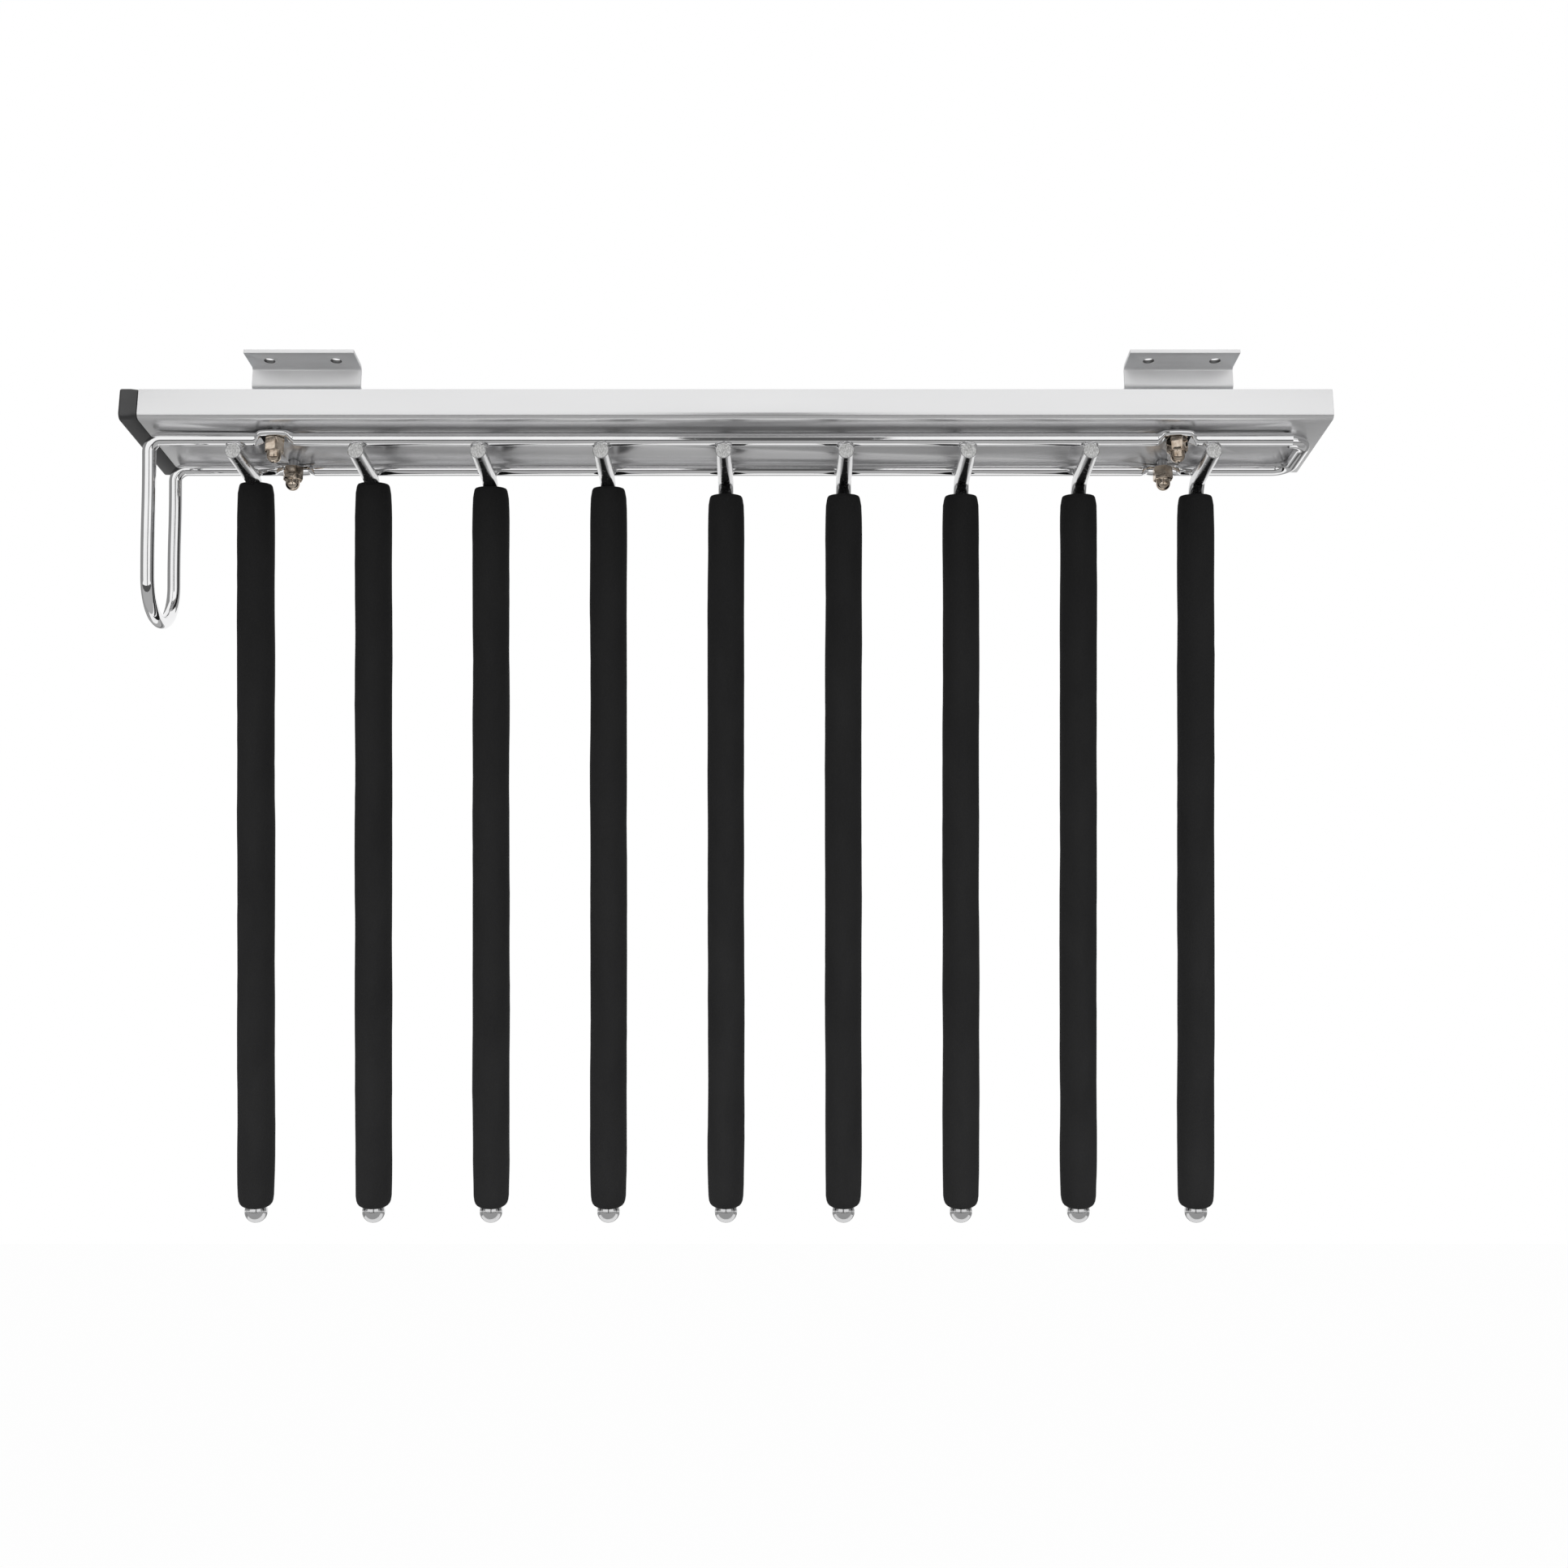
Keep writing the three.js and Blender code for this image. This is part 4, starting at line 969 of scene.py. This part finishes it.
# Arms: nine chromed steel rods, each welded under both wires, sawn off at the near end and bent
# down and outwards past the far wire.
rod_diameter = 6.1 * mm
rod_bend = 8 * mm
rod_sides = 48
arm_count = 9
arm_length = 290.9 * mm
arm_corner_past_wire = 2.2 * mm
arm_corner_y = wire_spacing / 2 + arm_corner_past_wire
rod_end_inset = 1.5 * mm
saw_burr = 0.2 * mm


def sawn_end(name):
    """The rod's sawn face: bright, matt and mottled under thin plate."""
    finish, tree, shader, place = new_finish(name, 0.75)
    marks = speckle(tree, place, 0.4 * mm, (1, 1, 2.2), 4)
    surfaced(tree, shader, tinted(tree, marks, (0.40, 0.40, 0.395), (0.78, 0.78, 0.775), 0.32, 0.66),
             between(tree, marks, 0.62, 0.42), marks, 0.09 * mm)
    return finish


rod_chrome = chrome("rod_chrome", (0.62, 0.62, 0.625), (0.70, 0.70, 0.705), 0.14)
rod_sawn = sawn_end("rod_sawn_end")
low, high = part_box("arm_rod_1")
rod_z = high.z - rod_diameter / 2
wire = BentWire("rod_pattern", rod_diameter / 2 - saw_burr, (0, low.y, rod_z), (0, 1, 0), rod_sides, True)
wire.run(saw_burr)
grow = rod_diameter / (rod_diameter - 2 * saw_burr)
bpy.ops.transform.resize(value=(grow, 1, grow), center_override=wire.here)
turn = pi / 2 - arm_tilt
wire.run(arm_corner_y - rod_bend * tan(turn / 2) - wire.here.y)
wire.bend(rod_bend, turn, (-1, 0, 0), 16)
rod_end = Vector((0, arm_corner_y, rod_z)) + down_arm * (arm_length - rod_end_inset)
wire.run((rod_end - wire.here).length)
pattern = smooth(wire.finish())
for number in range(1, arm_count + 1):
    rod = copied(pattern, f"bent_rod_{number}", (middle(f"arm_rod_{number}").x, 0, 0))
    stands_for(rod, f"arm_rod_{number}", "carriage", rod_chrome)
    rod.data.materials.append(rod_sawn)
    for face in rod.data.polygons:
        if face.normal.y < -0.9 and face.center.y < low.y + saw_burr:
            face.material_index = 1
bpy.data.objects.remove(pattern)

# Arm welds: where a rod crosses a wire, an arc has run the two together. Each weld is a low, uneven
# lump between them that shows on both sides of the rod, and it is plated with the frame.
weld_half = Vector((3.35, 2.3, 1.5)) * mm
weld_unevenness = 0.28
weld_grain = 420
weld_shift_by_number = 5.1
weld_shift_by_place = 900
far_weld_inset = 1.6 * mm
weld_ys = {"near": near_y, "far": -near_y - far_weld_inset}
bpy.ops.object.select_all(action="DESELECT")
bpy.ops.mesh.primitive_ico_sphere_add(subdivisions=4, radius=1, location=(0, 0, 0))
lump = bpy.context.object
lump.name = "weld_pattern"
lump.scale = weld_half
settle(lump)
for side, y in weld_ys.items():
    for number in range(1, arm_count + 1):
        weld = copied(lump, f"{side}_weld_{number}")
        for vert in weld.data.vertices:
            shift = Vector((number * weld_shift_by_number, y * weld_shift_by_place, 0))
            spot = vert.co * weld_grain + shift
            vert.co *= 1 + weld_unevenness * noise.noise(spot)
        settle(weld, (middle(f"arm_rod_{number}").x, y, wire_z - wire_diameter / 2))
        smooth(weld, 60)
        weld.data.materials.append(rod_chrome)
        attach(weld, "carriage")
bpy.data.objects.remove(lump)

# Foam sleeves: nine tubes of soft black closed-cell foam pushed over the rods, cut square and drawn
# in a little at both ends. Each has its own waves, and the first four reach higher up their rods.
sleeve_diameter = 14.6 * mm
sleeve_sides = 44
foam_play = 0.3 * mm
sleeve_bore = rod_diameter / 2 + foam_play
bore_mouth = 0.4 * mm
sleeve_short = 1.8 * mm
sleeve_starts = [start * mm for start in (0.2, 0.2, 1.9, 1.9, 4.9, 4.9, 4.9, 4.9, 4.9)]
root_end = ((1.9 * mm, 0), (1.25 * mm, 0.25 * mm), (0.85 * mm, 0.8 * mm), (0.62 * mm, 1.8 * mm))
tip_end = ((0.55 * mm, 2.6 * mm), (0.95 * mm, 1.5 * mm), (1.6 * mm, 0.7 * mm), (2.5 * mm, 0.15 * mm))
body_rings = 60
body_start = 4 * mm
body_end = 4.5 * mm
taper = 0.45 * mm
root_taper_length = 16 * mm
tip_taper_length = 22 * mm
bend_end = rod_bend * tan((pi / 2 - arm_tilt) / 2)
bore_wall_margin = 0.1 * mm
broad_wave = 0.24 * mm
fine_wave = 0.08 * mm
skin_swell = 0.02 * mm
ball_diameter = 9.1 * mm


def foam(name):
    """Matt black foam: fine cells and a soft bloom on the skin, with painted light that makes it paler
    lower down, towards the tips.
    """
    finish, tree, shader, place = new_finish(name, 0)
    cells = speckle(tree, place, 0.45 * mm, (1, 1, 1), 3)
    bloom = speckle(tree, place, 12 * mm, (1, 1, 3), 3)
    # Painted light: the skin's colour goes from 1 times at the top to 2.2 times low down by the tips, as
    # if lit more from below.
    along = tree.nodes.new("ShaderNodeSeparateXYZ")
    tree.links.new(place, along.inputs[0])
    painted_light_to_tips = tree.nodes.new("ShaderNodeVectorMath")
    painted_light_to_tips.operation = "SCALE"
    skin = tinted(tree, bloom, (0.0125, 0.0125, 0.0128), (0.0160, 0.0160, 0.0163))
    tree.links.new(skin, painted_light_to_tips.inputs[0])
    tree.links.new(between(tree, along.outputs["Z"], 2.2, 1.0, -0.32, -0.05), painted_light_to_tips.inputs["Scale"])
    shader.inputs["Specular IOR Level"].default_value = 0.25
    surfaced(tree, shader, painted_light_to_tips.outputs[0], between(tree, cells, 0.88, 0.98), cells, 0.07 * mm)
    return finish


def sleeve_outline(start, end):
    """Rings (radius, place along the arm) of a sleeve's skin, then back through its bore."""
    full = sleeve_diameter / 2
    rings = [(sleeve_bore, start + bore_mouth)]
    rings += [(full - inset, start + along) for inset, along in root_end]
    for i in range(body_rings + 1):
        along = start + body_start + (end - start - body_start - body_end) * i / body_rings
        swell = min(1, (along - start) / root_taper_length, (end - along) / tip_taper_length)
        rings.append((full - taper * (1 - swell) ** 2, along))
    rings += [(full - inset, end - along) for inset, along in tip_end]
    pocket = ball_diameter / 2 + foam_play
    rim = sqrt(pocket ** 2 - (arm_length - end) ** 2)
    for share in (0, 0.25, 0.5, 0.75, 1):
        radius = rim + (sleeve_bore - rim) * share
        rings.append((radius, arm_length - sqrt(pocket ** 2 - radius ** 2)))
    rings += [(sleeve_bore, start + (end - start) * share) for share in (0.75, 0.5, 0.25)]
    return rings


def settle_foam(sleeve, number):
    """Lets the bore follow the rod's bend, and gives the skin its own broad and fine waves."""
    for vert in sleeve.data.vertices:
        x, y, z = vert.co
        radius = hypot(x, y)
        if radius < sleeve_bore + bore_wall_margin:
            before_bend = max(0, bend_end - z)
            vert.co.y += rod_bend - sqrt(rod_bend ** 2 - before_bend ** 2)
            continue
        broad = noise.noise(Vector((x * 60, y * 60, z * 38 + number * 7.3)))
        fine = noise.noise(Vector((x * 260, y * 260, z * 260 + number * 3.1)))
        swell = broad_wave * broad + fine_wave * fine + skin_swell
        vert.co.x += x / radius * swell
        vert.co.y += y / radius * swell


foam_finish = foam("black_foam")
along_arm = (pi + arm_tilt, 0, 0)
patterns = {}
for start in sorted(set(sleeve_starts)):
    outline = sleeve_outline(start, arm_length - sleeve_short)
    patterns[start] = turned("sleeve_pattern", outline, sleeve_sides, hollow=True)
for number, start in enumerate(sleeve_starts, 1):
    sleeve = copied(patterns[start], f"foam_tube_{number}")
    settle_foam(sleeve, number)
    settle(sleeve, (middle(f"arm_rod_{number}").x, arm_corner_y, rod_z), along_arm)
    smooth(sleeve, 60)
    stands_for(sleeve, f"foam_sleeve_{number}", "carriage", foam_finish)
for pattern in patterns.values():
    bpy.data.objects.remove(pattern)

# End balls: chromed steel balls with a bore, pressed and plated on the rods' tips so that the
# sleeves can't slide off.
ball_bore = 3.3 * mm
ball_bore_past_middle = 1 * mm
ball_bore_lip = 0.25 * mm
ball_radius = ball_diameter / 2
mouth = degrees(acos(ball_bore / ball_radius))
outline = arc((0, 0), ball_radius, 89, -mouth, 28)
outline += [(ball_bore * 0.97, outline[-1][1] + ball_bore_lip),
            (ball_bore * 0.97, ball_bore_past_middle)]
pattern = smooth(turned("end_ball_pattern", outline[::-1]))
ball_place = Vector((0, arm_corner_y, rod_z)) + down_arm * arm_length
for number in range(1, arm_count + 1):
    place = Vector((middle(f"arm_rod_{number}").x, 0, 0)) + ball_place
    ball = copied(pattern, f"chrome_ball_{number}", place, along_arm)
    stands_for(ball, f"end_ball_{number}", "carriage", rod_chrome)
bpy.data.objects.remove(pattern)
